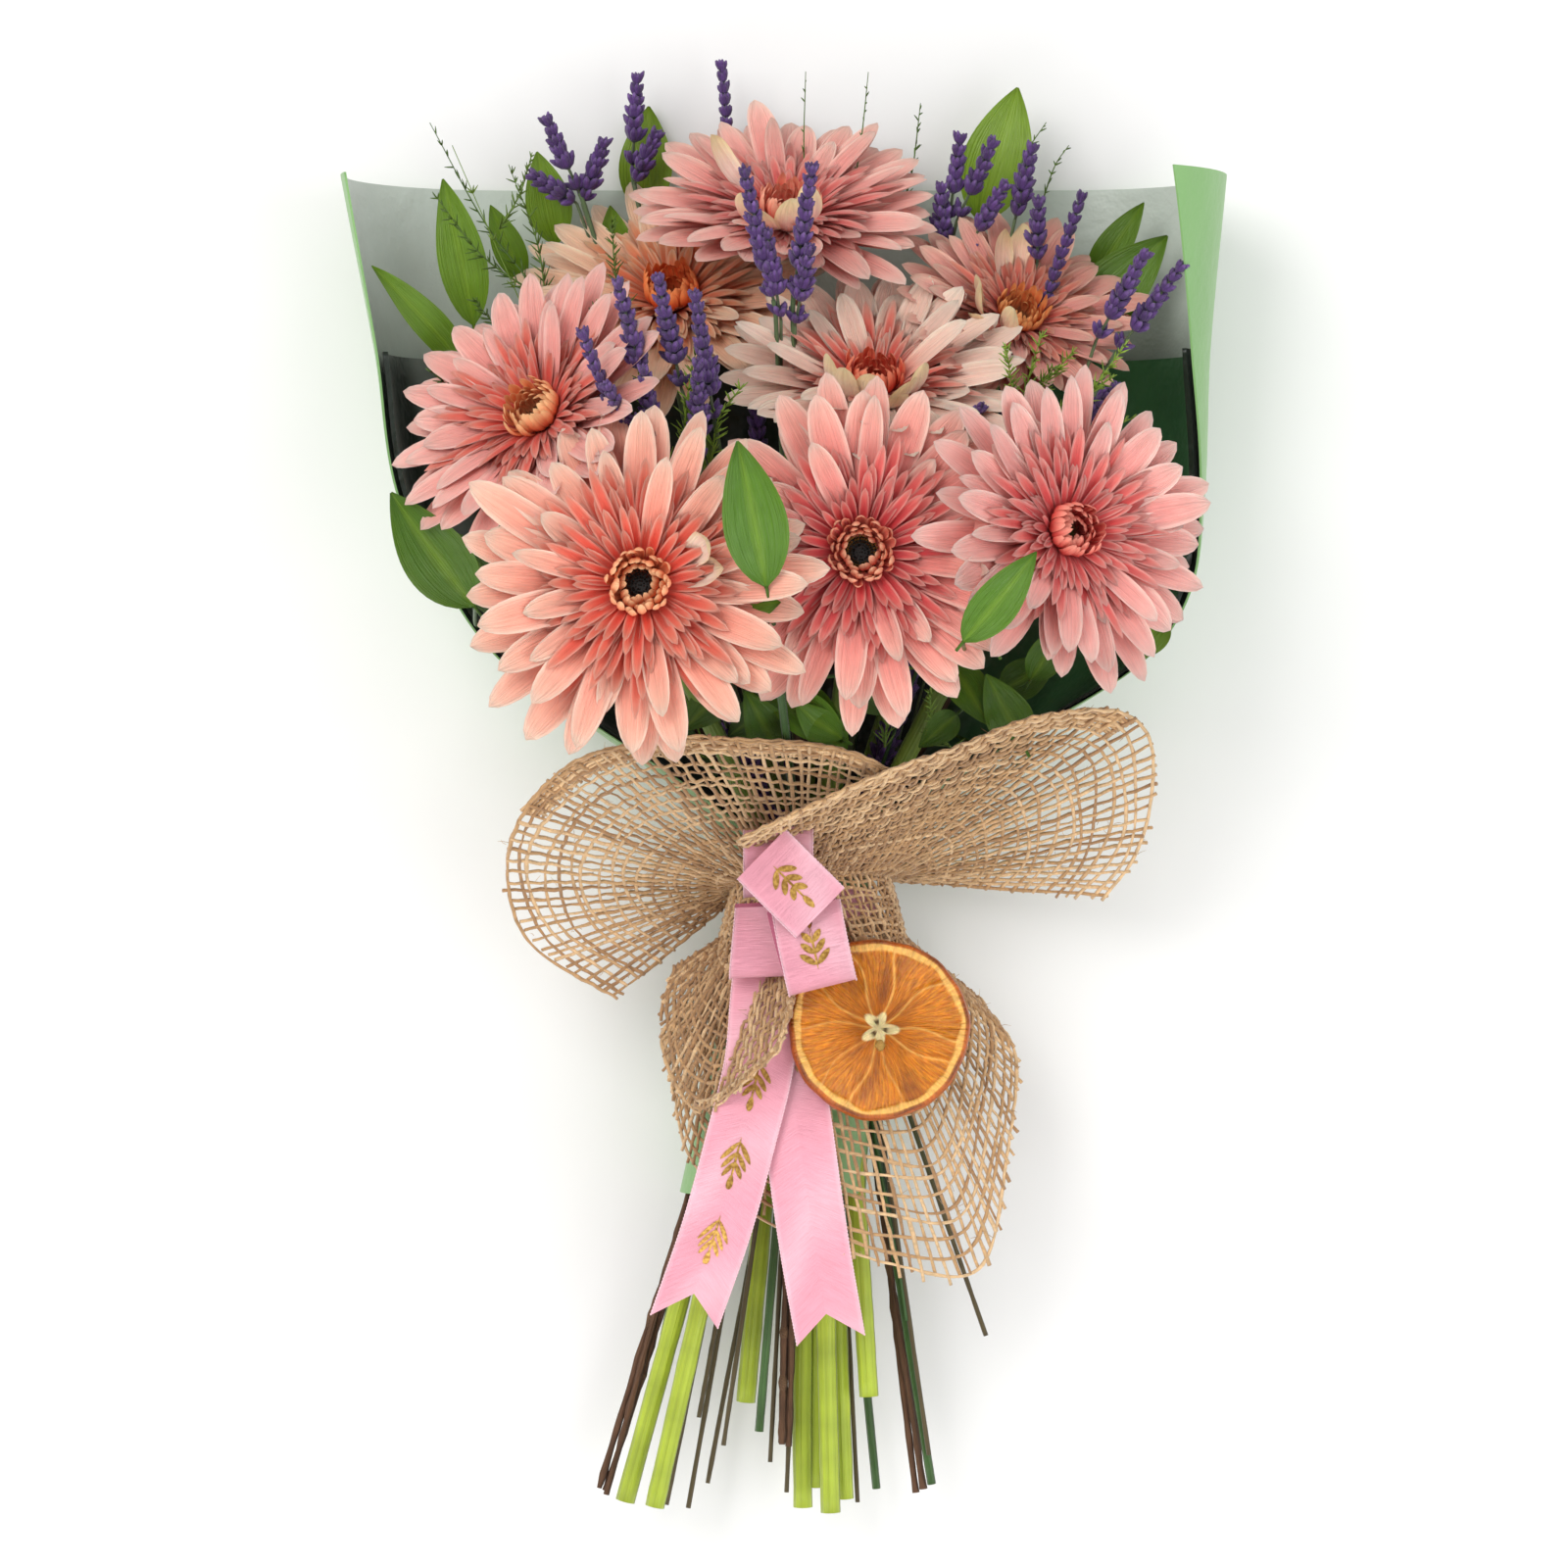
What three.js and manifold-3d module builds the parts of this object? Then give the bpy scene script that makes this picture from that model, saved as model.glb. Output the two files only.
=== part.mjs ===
// A hand-tied bunch of gerberas with lavender and ruscus in a sheet wrap, dressed with burlap,
// a satin ribbon and a dried orange slice. It lies on its back.
// Millimetres. +X is to the right of the flowers, +Y runs from the cut stems to the flowers, +Z is up.
// Everything is placed about the tie, and the last lines move the whole bunch so that the
// origin is at the middle of the bottom of its bounding box.
import * as THREE from "three";
import { mergeVertices } from "three/addons/utils/BufferGeometryUtils.js";
import Module from "manifold-3d";

const wasm = await Module();
wasm.setup();

const V = (x, y, z) => new THREE.Vector3(x, y, z);
const rad = THREE.MathUtils.degToRad;
const group = new THREE.Group();

// ---- driving dimensions ----
const GAP = 0.4; // air kept between pieces that touch
const TIE = V(10, -38, 36); // centre of the binding point
const GERBERA_NECK_R = 2.6; // stem radius under the flower
const GERBERA_TIE_R = 3.6; // stem radius at the tie
const GERBERA_CUT_R = 4.3; // stem radius at the cut end
const LAVENDER_STEM_R = 1.1;
const LAVENDER_SPIKE_R = 4.5;
const RUSCUS_STEM_R = 1.6;
const TWIG_R = 2.1;
const FERN_STEM_R = 1.0;
const FERN_PLUME_R = 5;
const PETAL_LAYER = 2.2; // thickness of the rows of petals together
const DISC_DOME = 3.5; // height of the florets above the petals
const RECEPTACLE_R = 7; // the green cup under the flower
const RECEPTACLE_DEPTH = 11;
const LEAF_THICK = 0.9;
const BAND_THICK = 1.8; // rubber binding round the stems
const BAND_WIDTH = 9;
const SHEET_THICK = 0.8; // wrapping sheet
const BURLAP_THICK = 1.4;
const RIBBON_WIDTH = 25;
const RIBBON_THICK = 0.6;
const BAND_OF_RIBBON = 14; // width of the gathered ribbon round the waist
const ORANGE_R = 32.5;
const ORANGE_THICK = 5;

const COLOURS = {
  petal: [0xf39a94, 0.62],
  stem: [0xa7bb3a, 0.55],
  lavender: [0x3d2c6b, 0.85],
  fern: [0x3f6b2c, 0.7],
  leaf: [0x4c7a1d, 0.45],
  twig: [0x2f4d25, 0.6],
  bark: [0x6b4a33, 0.85],
  sheet: [0x7fae73, 0.4],
  lining: [0x1f3324, 0.45],
  burlap: [0xb08a5a, 0.95],
  ribbon: [0xf3a9c8, 0.35],
  orange: [0xc9791b, 0.5],
  rubber: [0x9a7b4a, 0.7],
};

// ---- geometry helpers ----

// A closed, indexed geometry from a list of points and a list of faces with three or four corners.
function closedGeometry(points, faces) {
  const g = new THREE.BufferGeometry();
  g.setAttribute("position", new THREE.Float32BufferAttribute(points.flatMap((p) => p.toArray()), 3));
  g.setIndex(faces.flatMap((f) => (f.length === 4 ? [f[0], f[1], f[2], f[0], f[2], f[3]] : f)));
  return g;
}

// The same geometry with its corners joined up and nothing but positions.
function weld(geometry) {
  const bare = new THREE.BufferGeometry();
  bare.setAttribute("position", geometry.getAttribute("position"));
  bare.setIndex(geometry.getIndex());
  return mergeVertices(bare, 1e-3);
}

// A smooth tube through stations {p, r}, with flat ends and `sides` corners on each ring.
function tube(stations, sides) {
  const points = [];
  const faces = [];
  let side = null;
  stations.forEach((s, i) => {
    const before = stations[Math.max(i - 1, 0)].p;
    const after = stations[Math.min(i + 1, stations.length - 1)].p;
    const along = after.clone().sub(before).normalize();
    const seed = side ?? (Math.abs(along.x) < 0.9 ? V(1, 0, 0) : V(0, 0, 1));
    side = seed.clone().addScaledVector(along, -seed.dot(along)).normalize();
    const other = along.clone().cross(side);
    for (let k = 0; k < sides; k++) {
      const a = (2 * Math.PI * k) / sides;
      points.push(
        s.p.clone().addScaledVector(side, s.r * Math.cos(a)).addScaledVector(other, s.r * Math.sin(a)),
      );
    }
  });
  for (let i = 0; i + 1 < stations.length; i++)
    for (let k = 0; k < sides; k++) {
      const n = (k + 1) % sides;
      faces.push([i * sides + k, i * sides + n, (i + 1) * sides + n, (i + 1) * sides + k]);
    }
  const last = (stations.length - 1) * sides;
  for (let k = 1; k + 1 < sides; k++) {
    faces.push([0, k + 1, k]);
    faces.push([last, last + k, last + k + 1]);
  }
  return closedGeometry(points, faces);
}

// A slab of cloth or sheet: `at(i, j)` gives the middle of the sheet on a grid of nu by nv points.
// `share` says how much of the thickness lies on the side that the grid's normal points to.
function slab(at, nu, nv, thick, share = 0.5) {
  const grid = (i, j) => at(Math.min(Math.max(i, 0), nu - 1), Math.min(Math.max(j, 0), nv - 1));
  const top = [];
  const bottom = [];
  for (let i = 0; i < nu; i++)
    for (let j = 0; j < nv; j++) {
      const du = grid(i + 1, j).sub(grid(i - 1, j));
      const dv = grid(i, j + 1).sub(grid(i, j - 1));
      const n = du.cross(dv).normalize();
      top.push(grid(i, j).addScaledVector(n, thick * share));
      bottom.push(grid(i, j).addScaledVector(n, -thick * (1 - share)));
    }
  const id = (i, j) => i * nv + j;
  const low = nu * nv;
  const faces = [];
  for (let i = 0; i + 1 < nu; i++)
    for (let j = 0; j + 1 < nv; j++) {
      const [a, b, c, d] = [id(i, j), id(i + 1, j), id(i + 1, j + 1), id(i, j + 1)];
      faces.push([a, b, c, d], [low + a, low + d, low + c, low + b]);
    }
  const rim = [];
  for (let i = 0; i < nu; i++) rim.push(id(i, 0));
  for (let j = 1; j < nv; j++) rim.push(id(nu - 1, j));
  for (let i = nu - 2; i >= 0; i--) rim.push(id(i, nv - 1));
  for (let j = nv - 2; j > 0; j--) rim.push(id(0, j));
  rim.forEach((a, k) => {
    const b = rim[(k + 1) % rim.length];
    faces.push([b, a, low + a, low + b]);
  });
  return closedGeometry([...top, ...bottom], faces);
}

// Smooth interpolation of a table of rows [key, value, value, ...] at a key.
function between(rows, key) {
  let i = rows.findIndex((r) => r[0] >= key);
  if (i <= 0) i = 1;
  const [a, b] = [rows[i - 1], rows[i]];
  const [p, n] = [rows[Math.max(i - 2, 0)], rows[Math.min(i + 1, rows.length - 1)]];
  const t = (key - a[0]) / (b[0] - a[0]);
  return a.slice(1).map((v, k) => {
    const slope = (lo, hi) => (hi[0] === lo[0] ? 0 : (hi[k + 1] - lo[k + 1]) / (hi[0] - lo[0]));
    const [m0, m1] = [slope(p, b) * (b[0] - a[0]), slope(a, n) * (b[0] - a[0])];
    return (
      (2 * t ** 3 - 3 * t ** 2 + 1) * v + (t ** 3 - 2 * t ** 2 + t) * m0 +
      (-2 * t ** 3 + 3 * t ** 2) * b[k + 1] + (t ** 3 - t ** 2) * m1
    );
  });
}

const toSolid = (geometry) => {
  const merged = weld(geometry);
  return new wasm.Manifold(
    new wasm.Mesh({
      numProp: 3,
      vertProperties: merged.attributes.position.array,
      triVerts: new Uint32Array(merged.index.array),
    }),
  );
};

const fromSolid = (solid) => {
  const m = solid.getMesh();
  const g = new THREE.BufferGeometry();
  g.setAttribute("position", new THREE.Float32BufferAttribute(m.vertProperties, 3));
  g.setIndex([...m.triVerts]);
  return g;
};

const cutters = []; // {box, solid}: what later, softer pieces are parted by, grown by GAP

function addCutter(geometry) {
  geometry.computeBoundingBox();
  cutters.push({ box: geometry.boundingBox.clone(), solid: toSolid(geometry) });
}

// The geometry with every cutter that it meets taken out of it, keeping its largest piece.
function parted(geometry) {
  geometry.computeBoundingBox();
  let solid = toSolid(geometry);
  let cut = false;
  for (const c of cutters)
    if (c.box.intersectsBox(geometry.boundingBox) && solid.intersect(c.solid).volume() > 1e-4) {
      solid = solid.subtract(c.solid);
      cut = true;
    }
  if (!cut) return geometry;
  const pieces = solid.decompose().sort((a, b) => b.volume() - a.volume());
  return fromSolid(pieces[0]);
}

function addPiece(name, geometry, colour) {
  const [color, roughness] = COLOURS[colour];
  geometry.computeVertexNormals();
  const material = new THREE.MeshStandardMaterial({ color, roughness, metalness: 0 });
  const mesh = new THREE.Mesh(geometry, material);
  mesh.name = name;
  group.add(mesh);
}

// ---- what grows: flowers, spikes and sprays ----

// centre is the middle of the flower's face, faces is where it looks, cup is the angle in degrees
// by which the petals rise from a flat plate, and cut is the x and y of the stem's cut end.
const GERBERAS = [
  {
    name: "front_left", centre: V(-50, 70, 150), faces: V(-0.05, 0.08, 1),
    radius: 62, cup: 10, cut: [-47, -262],
  },
  {
    name: "front", centre: V(27, 82, 134), faces: V(0, 0.05, 1),
    radius: 61, cup: 11, cut: [17, -264],
  },
  {
    name: "right", centre: V(98, 89, 128), faces: V(0.5, 0.15, 0.85),
    radius: 56, cup: 14, cut: [31, -222],
  },
  {
    name: "middle", centre: V(32, 141, 92), faces: V(0.05, 0.74, 0.67),
    radius: 55, cup: 20, cut: [22, -260],
  },
  {
    name: "left", centre: V(-85, 130, 108), faces: V(-0.5, 0.45, 0.74),
    radius: 57, cup: 18, cut: [-58, -261],
  },
  {
    name: "top", centre: V(1, 205, 50), faces: V(0.03, 0.8, 0.6),
    radius: 57, cup: 16, cut: [7, -264],
  },
  {
    name: "top_left", centre: V(-40, 176, 42), faces: V(-0.12, 0.7, 0.7),
    radius: 58, cup: 15, cut: [-14, -226],
  },
  {
    name: "back_right", centre: V(84, 168, 58), faces: V(0.25, 0.62, 0.74),
    radius: 48, cup: 18, cut: [12, -258],
  },
];

const LAVENDERS = [
  { tip: V(-54, 261, 21), base: V(-56, 226, 14), cut: [-43, -263] },
  { tip: V(-23, 266, 20), base: V(-24, 236, 18), cut: [-28, -256] },
  { tip: V(-87, 244, 34), base: V(-74, 216, 28), cut: [-35, -264] },
  { tip: V(-14, 217, 122), base: V(-3, 170, 102), cut: [-5, -247] },
  { tip: V(10, 218, 124), base: V(3, 172, 100), cut: [1, -258] },
  { tip: V(-70, 158, 146), base: V(-50, 124, 122), cut: [-31, -230] },
  { tip: V(-31, 172, 140), base: V(-24, 126, 118), cut: [-22, -240] },
  { tip: V(64, 236, 52), base: V(60, 204, 44), cut: [27, -262] },
  { tip: V(108, 214, 60), base: V(98, 182, 50), cut: [74, -201] },
  { tip: V(142, 186, 92), base: V(118, 154, 78), cut: [53, -244] },
];

const RUSCUS = [
  { top: V(-106, 158, 44), cut: [-51, -236] },
  { top: V(114, 146, 52), cut: [54, -255] },
  { top: V(70, 202, 16), cut: [34, -258] },
  { top: V(-5, 66, 150), cut: [-9, -234] },
];

const FERNS = [
  { tip: V(-120, 232, 60), base: V(-86, 176, 48), cut: [-46, -214] },
  { tip: V(97, 150, 96), base: V(78, 124, 70), cut: [45, -195] },
];

const TWIGS = [
  { top: V(-72, 96, 24), cut: [-66, -257] },
  { top: V(4, 60, 84), cut: [0, -241] },
  { top: V(86, 84, 40), cut: [50, -258] },
];

// base and tip are the ends of the blade, up is roughly where its upper face looks.
const LEAVES = [
  { tip: V(-16, 119, 174), base: V(-6, 69, 166), width: 24, up: V(0.1, 0, 1) },
  { tip: V(87, 81, 172), base: V(62, 50, 164), width: 17, up: V(0.2, 0, 1) },
  { tip: V(-139, 104, 112), base: V(-110, 64, 98), width: 26, up: V(-0.2, 0, 1) },
  { tip: V(-124, 221, 48), base: V(-113, 168, 42), width: 19, up: V(0.2, 0, 1) },
  { tip: V(-148, 187, 78), base: V(-114, 150, 58), width: 14, up: V(0.3, 0.2, 1) },
  { tip: V(-91, 234, 16), base: V(-84, 200, 12), width: 18, up: V(0.1, 0, 1) },
  { tip: V(-50, 252, 4), base: V(-52, 212, 3), width: 21, up: V(0, 0, 1) },
  { tip: V(86, 257, 22), base: V(72, 208, 17), width: 27, up: V(0, 0, 1) },
  { tip: V(140, 201, 40), base: V(104, 165, 30), width: 25, up: V(0.1, 0.1, 1) },
  { tip: V(140, 108, 92), base: V(112, 104, 80), width: 19, up: V(0.1, 0.4, 1) },
  { tip: V(21, 17, 104), base: V(-8, 36, 96), width: 17, up: V(0, -0.1, 1) },
  { tip: V(72, 40, 98), base: V(86, 14, 88), width: 18, up: V(0, 0, 1) },
];

// ---- the bundle: every stem passes the tie in a slot of its own ----

const APEX_BELOW = 62; // stems aim at a point this far below the tie
const STEM_GAP = 0.7;
const LEVEL_STEP = 24; // distance along Y between the levels where stems are kept apart
const CUT_LIFT = 1.25; // how much the bundle has grown in height at the cut ends

const bundle = [
  ...GERBERAS.map((g) => {
    g.faces.normalize();
    return { of: g, top: g.centre.clone().addScaledVector(g.faces, -34), r: GERBERA_TIE_R };
  }),
  ...LAVENDERS.map((l) => ({ of: l, top: l.base, r: LAVENDER_STEM_R })),
  ...RUSCUS.map((s) => ({ of: s, top: s.top, r: RUSCUS_STEM_R })),
  ...FERNS.map((f) => ({ of: f, top: f.base, r: FERN_STEM_R })),
  ...TWIGS.map((t) => ({ of: t, top: t.top, r: TWIG_R })),
];

// Pushes round spots {x, z, r} apart until none are closer than STEM_GAP. `pull` draws them in.
function pushApart(spots, pull) {
  for (let pass = 0; pass < 300; pass++) {
    for (const s of spots) {
      s.x *= pull;
      s.z *= pull;
    }
    for (let i = 0; i < spots.length; i++)
      for (let j = i + 1; j < spots.length; j++) {
        const [a, b] = [spots[i], spots[j]];
        const [dx, dz] = [b.x - a.x, b.z - a.z];
        const apart = Math.hypot(dx, dz) || 1e-6;
        const short = a.r + b.r + STEM_GAP - apart;
        if (short <= 0) continue;
        const shareOfA = b.r ** 2 / (a.r ** 2 + b.r ** 2);
        a.x -= (dx / apart) * short * shareOfA;
        a.z -= (dz / apart) * short * shareOfA;
        b.x += (dx / apart) * short * (1 - shareOfA);
        b.z += (dz / apart) * short * (1 - shareOfA);
      }
  }
}

const slots = bundle.map((b) => {
  const rise = b.top.y - TIE.y + APEX_BELOW;
  const shrink = APEX_BELOW / rise;
  return { x: (b.top.x - TIE.x) * shrink, z: (b.top.z - TIE.z) * shrink, r: b.r };
});
pushApart(slots, 0.985);
bundle.forEach((b, i) => {
  b.slot = V(TIE.x + slots[i].x, TIE.y, TIE.z + slots[i].z);
  b.cut = V(b.of.cut[0], b.of.cut[1], TIE.z + slots[i].z * CUT_LIFT);
  b.path = [b.slot];
});
const BUNDLE_R = Math.max(...slots.map((s) => Math.hypot(s.x, s.z) + s.r));

// Level by level away from the tie, each stem heads for its end and stays clear of the others.
function growStems(end, step, put) {
  const reach = (b) => Math.abs(b[end].y - TIE.y);
  const longest = Math.max(...bundle.map(reach));
  for (let d = step; d < longest; d += step) {
    const here = bundle.filter((b) => reach(b) > d + step * 0.4);
    const spots = here.map((b) => {
      const last = put === "push" ? b.path[b.path.length - 1] : b.path[0];
      const share = step / (reach(b) - d + step);
      return { x: last.x + (b[end].x - last.x) * share, z: last.z + (b[end].z - last.z) * share, r: b.r };
    });
    pushApart(spots, 1);
    const y = TIE.y + d * Math.sign(bundle[0][end].y - TIE.y);
    here.forEach((b, i) => b.path[put](V(spots[i].x, y, spots[i].z)));
  }
}
growStems("top", LEVEL_STEP, "push");
growStems("cut", LEVEL_STEP * 2, "unshift");

// `steps` + 1 points evenly along the stem, from the cut end to its top.
function stemPath(b, steps) {
  const curve = new THREE.CatmullRomCurve3([b.cut, ...b.path, b.top], false, "centripetal");
  return Array.from({ length: steps + 1 }, (_, i) => curve.getPointAt(i / steps));
}

const GERBERA_STEPS = 14;
const THIN_STEPS = 12;
const GERBERA_SIDES = 7;
const THIN_SIDES = 5;

function addGrowing(name, stationsFor, sides, colour) {
  addPiece(name, parted(tube(stationsFor(0), sides)), colour);
  addCutter(tube(stationsFor(GAP), sides));
}

GERBERAS.forEach((g, i) => {
  const path = stemPath(bundle[i], GERBERA_STEPS);
  path.push(g.centre.clone().addScaledVector(g.faces, -RECEPTACLE_DEPTH - GAP));
  const tieAt = GERBERA_STEPS * 0.5;
  const radiusAt = (k) =>
    k < tieAt
      ? THREE.MathUtils.lerp(GERBERA_CUT_R, GERBERA_TIE_R, k / tieAt)
      : THREE.MathUtils.lerp(GERBERA_TIE_R, GERBERA_NECK_R, (k - tieAt) / (GERBERA_STEPS + 1 - tieAt));
  const stationsFor = (grow) => path.map((p, k) => ({ p, r: radiusAt(k) + grow }));
  addGrowing(`gerbera_${g.name}_stem`, stationsFor, GERBERA_SIDES, "stem");
});

// Spikes and plumes: radius by the share of their length from the base.
const LAVENDER_SPIKE = [
  [0.06, LAVENDER_SPIKE_R * 0.8], [0.3, LAVENDER_SPIKE_R], [0.6, LAVENDER_SPIKE_R * 0.85],
  [0.85, LAVENDER_SPIKE_R * 0.6], [1, LAVENDER_SPIKE_R * 0.25],
];
const FERN_PLUME = [
  [0.1, FERN_PLUME_R * 0.7], [0.4, FERN_PLUME_R], [0.75, FERN_PLUME_R * 0.6], [1, FERN_PLUME_R * 0.15],
];

function addThinStems(rows, prefix, colour, head) {
  rows.forEach((row, i) => {
    const b = bundle.find((one) => one.of === row);
    const path = stemPath(b, THIN_STEPS);
    const stationsFor = (grow) => [
      ...path.map((p) => ({ p, r: b.r + grow })),
      ...head.map(([share, r]) => ({ p: row.base.clone().lerp(row.tip, share), r: r + grow })),
    ];
    addGrowing(`${prefix}_${i + 1}`, stationsFor, THIN_SIDES, colour);
  });
}
addThinStems(LAVENDERS, "lavender", "lavender", LAVENDER_SPIKE);
addThinStems(FERNS, "fern", "fern", FERN_PLUME);
addThinStems(RUSCUS, "ruscus_stem", "twig", []);
addThinStems(TWIGS, "dry_twig", "bark", []);

// ---- flower heads ----

const LOBES = 12;

// The head in its own frame, looking along +Z with its face's middle at the origin.
function headGeometry(radius, cup, grow) {
  const rise = Math.tan(rad(cup));
  const tipZ = radius * Math.sin(rad(cup));
  const tipR = radius * Math.cos(rad(cup)) + grow;
  const layer = PETAL_LAYER / 2 + grow;
  // [radius at a lobe's tip, radius between lobes, height]
  const rings = [
    [radius * 0.13, radius * 0.13, DISC_DOME + grow],
    [radius * 0.27, radius * 0.27, radius * 0.27 * rise + layer + 1],
    [radius * 0.68, radius * 0.64, radius * 0.66 * rise + layer],
    [tipR, tipR * 0.8, tipZ + layer * 0.6],
    [tipR, tipR * 0.8, tipZ - layer * 0.6],
    [radius * 0.68, radius * 0.64, radius * 0.66 * rise - layer],
    [RECEPTACLE_R + 3 + grow, RECEPTACLE_R + 3 + grow, -layer - 1.5],
    [RECEPTACLE_R - 2 + grow, RECEPTACLE_R - 2 + grow, -RECEPTACLE_DEPTH],
  ];
  const corners = 2 * LOBES;
  const points = [V(0, 0, DISC_DOME + 0.5 + grow), V(0, 0, -RECEPTACLE_DEPTH)];
  rings.forEach(([atLobe, atValley, z]) => {
    for (let k = 0; k < corners; k++) {
      const a = (2 * Math.PI * k) / corners;
      const r = k % 2 ? atValley : atLobe;
      points.push(V(r * Math.cos(a), r * Math.sin(a), z));
    }
  });
  const faces = [];
  for (let k = 0; k < corners; k++) {
    const n = (k + 1) % corners;
    faces.push([0, 2 + k, 2 + n]);
    for (let i = 0; i + 1 < rings.length; i++)
      faces.push([
        2 + i * corners + k, 2 + (i + 1) * corners + k, 2 + (i + 1) * corners + n, 2 + i * corners + n,
      ]);
    const last = 2 + (rings.length - 1) * corners;
    faces.push([1, last + n, last + k]);
  }
  return closedGeometry(points, faces);
}

GERBERAS.forEach((g) => {
  const turn = new THREE.Quaternion().setFromUnitVectors(V(0, 0, 1), g.faces);
  const place = new THREE.Matrix4().compose(g.centre, turn, V(1, 1, 1));
  const head = parted(headGeometry(g.radius, g.cup, 0).applyMatrix4(place));
  addPiece(`gerbera_${g.name}_head`, head, "petal");
  addCutter(headGeometry(g.radius, g.cup, GAP).applyMatrix4(place));
});

// ---- leaves ----

const LEAF_STATIONS = [0.16, 0.38, 0.62, 0.84];
const LEAF_ARCH = 0.09; // rise of the midrib, as a share of the leaf's length

function leafGeometry({ tip, base, width, up }, grow) {
  const along = tip.clone().sub(base);
  const length = along.length();
  along.normalize();
  const side = along.clone().cross(up).normalize();
  const normal = side.clone().cross(along).normalize();
  const points = [base.clone().addScaledVector(along, -grow), tip.clone().addScaledVector(along, grow)];
  LEAF_STATIONS.forEach((t) => {
    const half = (width / 2) * Math.sin(Math.PI * t ** 0.85) ** 0.8 + grow;
    const arch = LEAF_ARCH * length * Math.sin(Math.PI * t);
    const middle = base.clone().addScaledVector(along, t * length).addScaledVector(normal, arch);
    const thick = LEAF_THICK / 2 + grow;
    points.push(
      middle.clone().addScaledVector(side, half).addScaledVector(normal, half * 0.18),
      middle.clone().addScaledVector(normal, thick),
      middle.clone().addScaledVector(side, -half).addScaledVector(normal, half * 0.18),
      middle.clone().addScaledVector(normal, -thick),
    );
  });
  const faces = [];
  for (let k = 0; k < 4; k++) {
    const n = (k + 1) % 4;
    faces.push([0, 2 + k, 2 + n]);
    for (let i = 0; i + 1 < LEAF_STATIONS.length; i++)
      faces.push([2 + 4 * i + k, 2 + 4 * (i + 1) + k, 2 + 4 * (i + 1) + n, 2 + 4 * i + n]);
    const last = 2 + 4 * (LEAF_STATIONS.length - 1);
    faces.push([1, last + n, last + k]);
  }
  return closedGeometry(points, faces);
}

LEAVES.forEach((leaf, i) => {
  const name = `leaf_${String(i + 1).padStart(2, "0")}`;
  addPiece(name, parted(leafGeometry(leaf, 0)), "leaf");
  addCutter(leafGeometry(leaf, GAP));
});

// ---- binding band ----

const bandIn = BUNDLE_R + GAP;
const bandOut = bandIn + BAND_THICK;
const ring = (inner, outer, height) =>
  new THREE.LatheGeometry(
    [
      new THREE.Vector2(inner, -height / 2), new THREE.Vector2(outer, -height / 2),
      new THREE.Vector2(outer, height / 2), new THREE.Vector2(inner, height / 2),
      new THREE.Vector2(inner, -height / 2),
    ],
    18,
  );
const stemBand = ring(bandIn, bandOut, BAND_WIDTH).translate(...TIE.toArray());
addPiece("stem_band", parted(weld(stemBand)), "rubber");

// ---- wrapping sheets ----

// Sections across the bunch: y, middle x, half width, corner radius, corner height, bottom z, and
// how far past level the left and right edges turn in, in degrees.
const waist = bandOut + 1.2 + SHEET_THICK;
const WRAP_TOP = 221;
const LINING_TOP = 157;
const SHEET_COLUMNS = 21;
const SECTIONS = [
  [-148, -4, 34, 34, 34, 0, 68, 68],
  [-95, 3, 29, 29, 29, 5, 74, 74],
  [TIE.y, TIE.x, waist, waist, waist, TIE.z - waist, 80, 80],
  [-5, 10, 44, 40, 38, 4, 38, 38],
  [20, 12, 80, 50, 50, 0, 34, 34],
  [45, 14, 116, 56, 55, 0, 34, 36],
  [70, 13, 134, 58, 56, 0, 32, 36],
  [105, 6, 146, 60, 57, 0, 30, 42],
  [158, 3, 151, 60, 57, 0, 26, 45],
  [WRAP_TOP, 0, 160, 60, 58, 0, 26, 50],
];

// The back lies flat between these two rows and rises a little to both sides of them, so that the
// bunch rests on its belly and on the sheet's lower end.
const BELLY_LOW = 78;
const BELLY_HIGH = 110;
const BELLY_RISE = 0.006; // rise for each millimetre beyond those rows

// Height of the sheet's back above the surface that the bunch lies on.
function backHeight(height, y) {
  const beyond = y < 0 ? 0 : Math.max(BELLY_LOW - y, y - BELLY_HIGH, 0);
  return Math.max(height, BELLY_RISE * beyond);
}

// A point on a section: s runs from -1 at the left edge through the back to 1 at the right edge.
function onSection(s, y, inset) {
  const [cx, a, rx, rz, height, left, right] = between(SECTIONS, y);
  const z0 = backHeight(height, y);
  const turn = Math.PI / 2 + rad(s < 0 ? left : right);
  const flat = Math.max(a - rx, 0);
  const arc = ((rx + rz) / 2) * turn;
  const run = Math.abs(s) * (flat + arc);
  const sign = Math.sign(s) || 1;
  if (run <= flat) return V(cx + sign * run, y, z0 + inset);
  const angle = ((run - flat) / arc) * turn - Math.PI / 2;
  return V(
    cx + sign * (flat + (rx - inset) * Math.cos(angle)),
    y,
    z0 + rz + (rz - inset) * Math.sin(angle),
  );
}

// The rows are shared by both sheets so that their facets stay parallel.
const SHEET_ROWS = [
  -148, -112, -78, -50, -22, -2, 16, 34, 54, BELLY_LOW, BELLY_HIGH, LINING_TOP, 190, WRAP_TOP,
];

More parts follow.
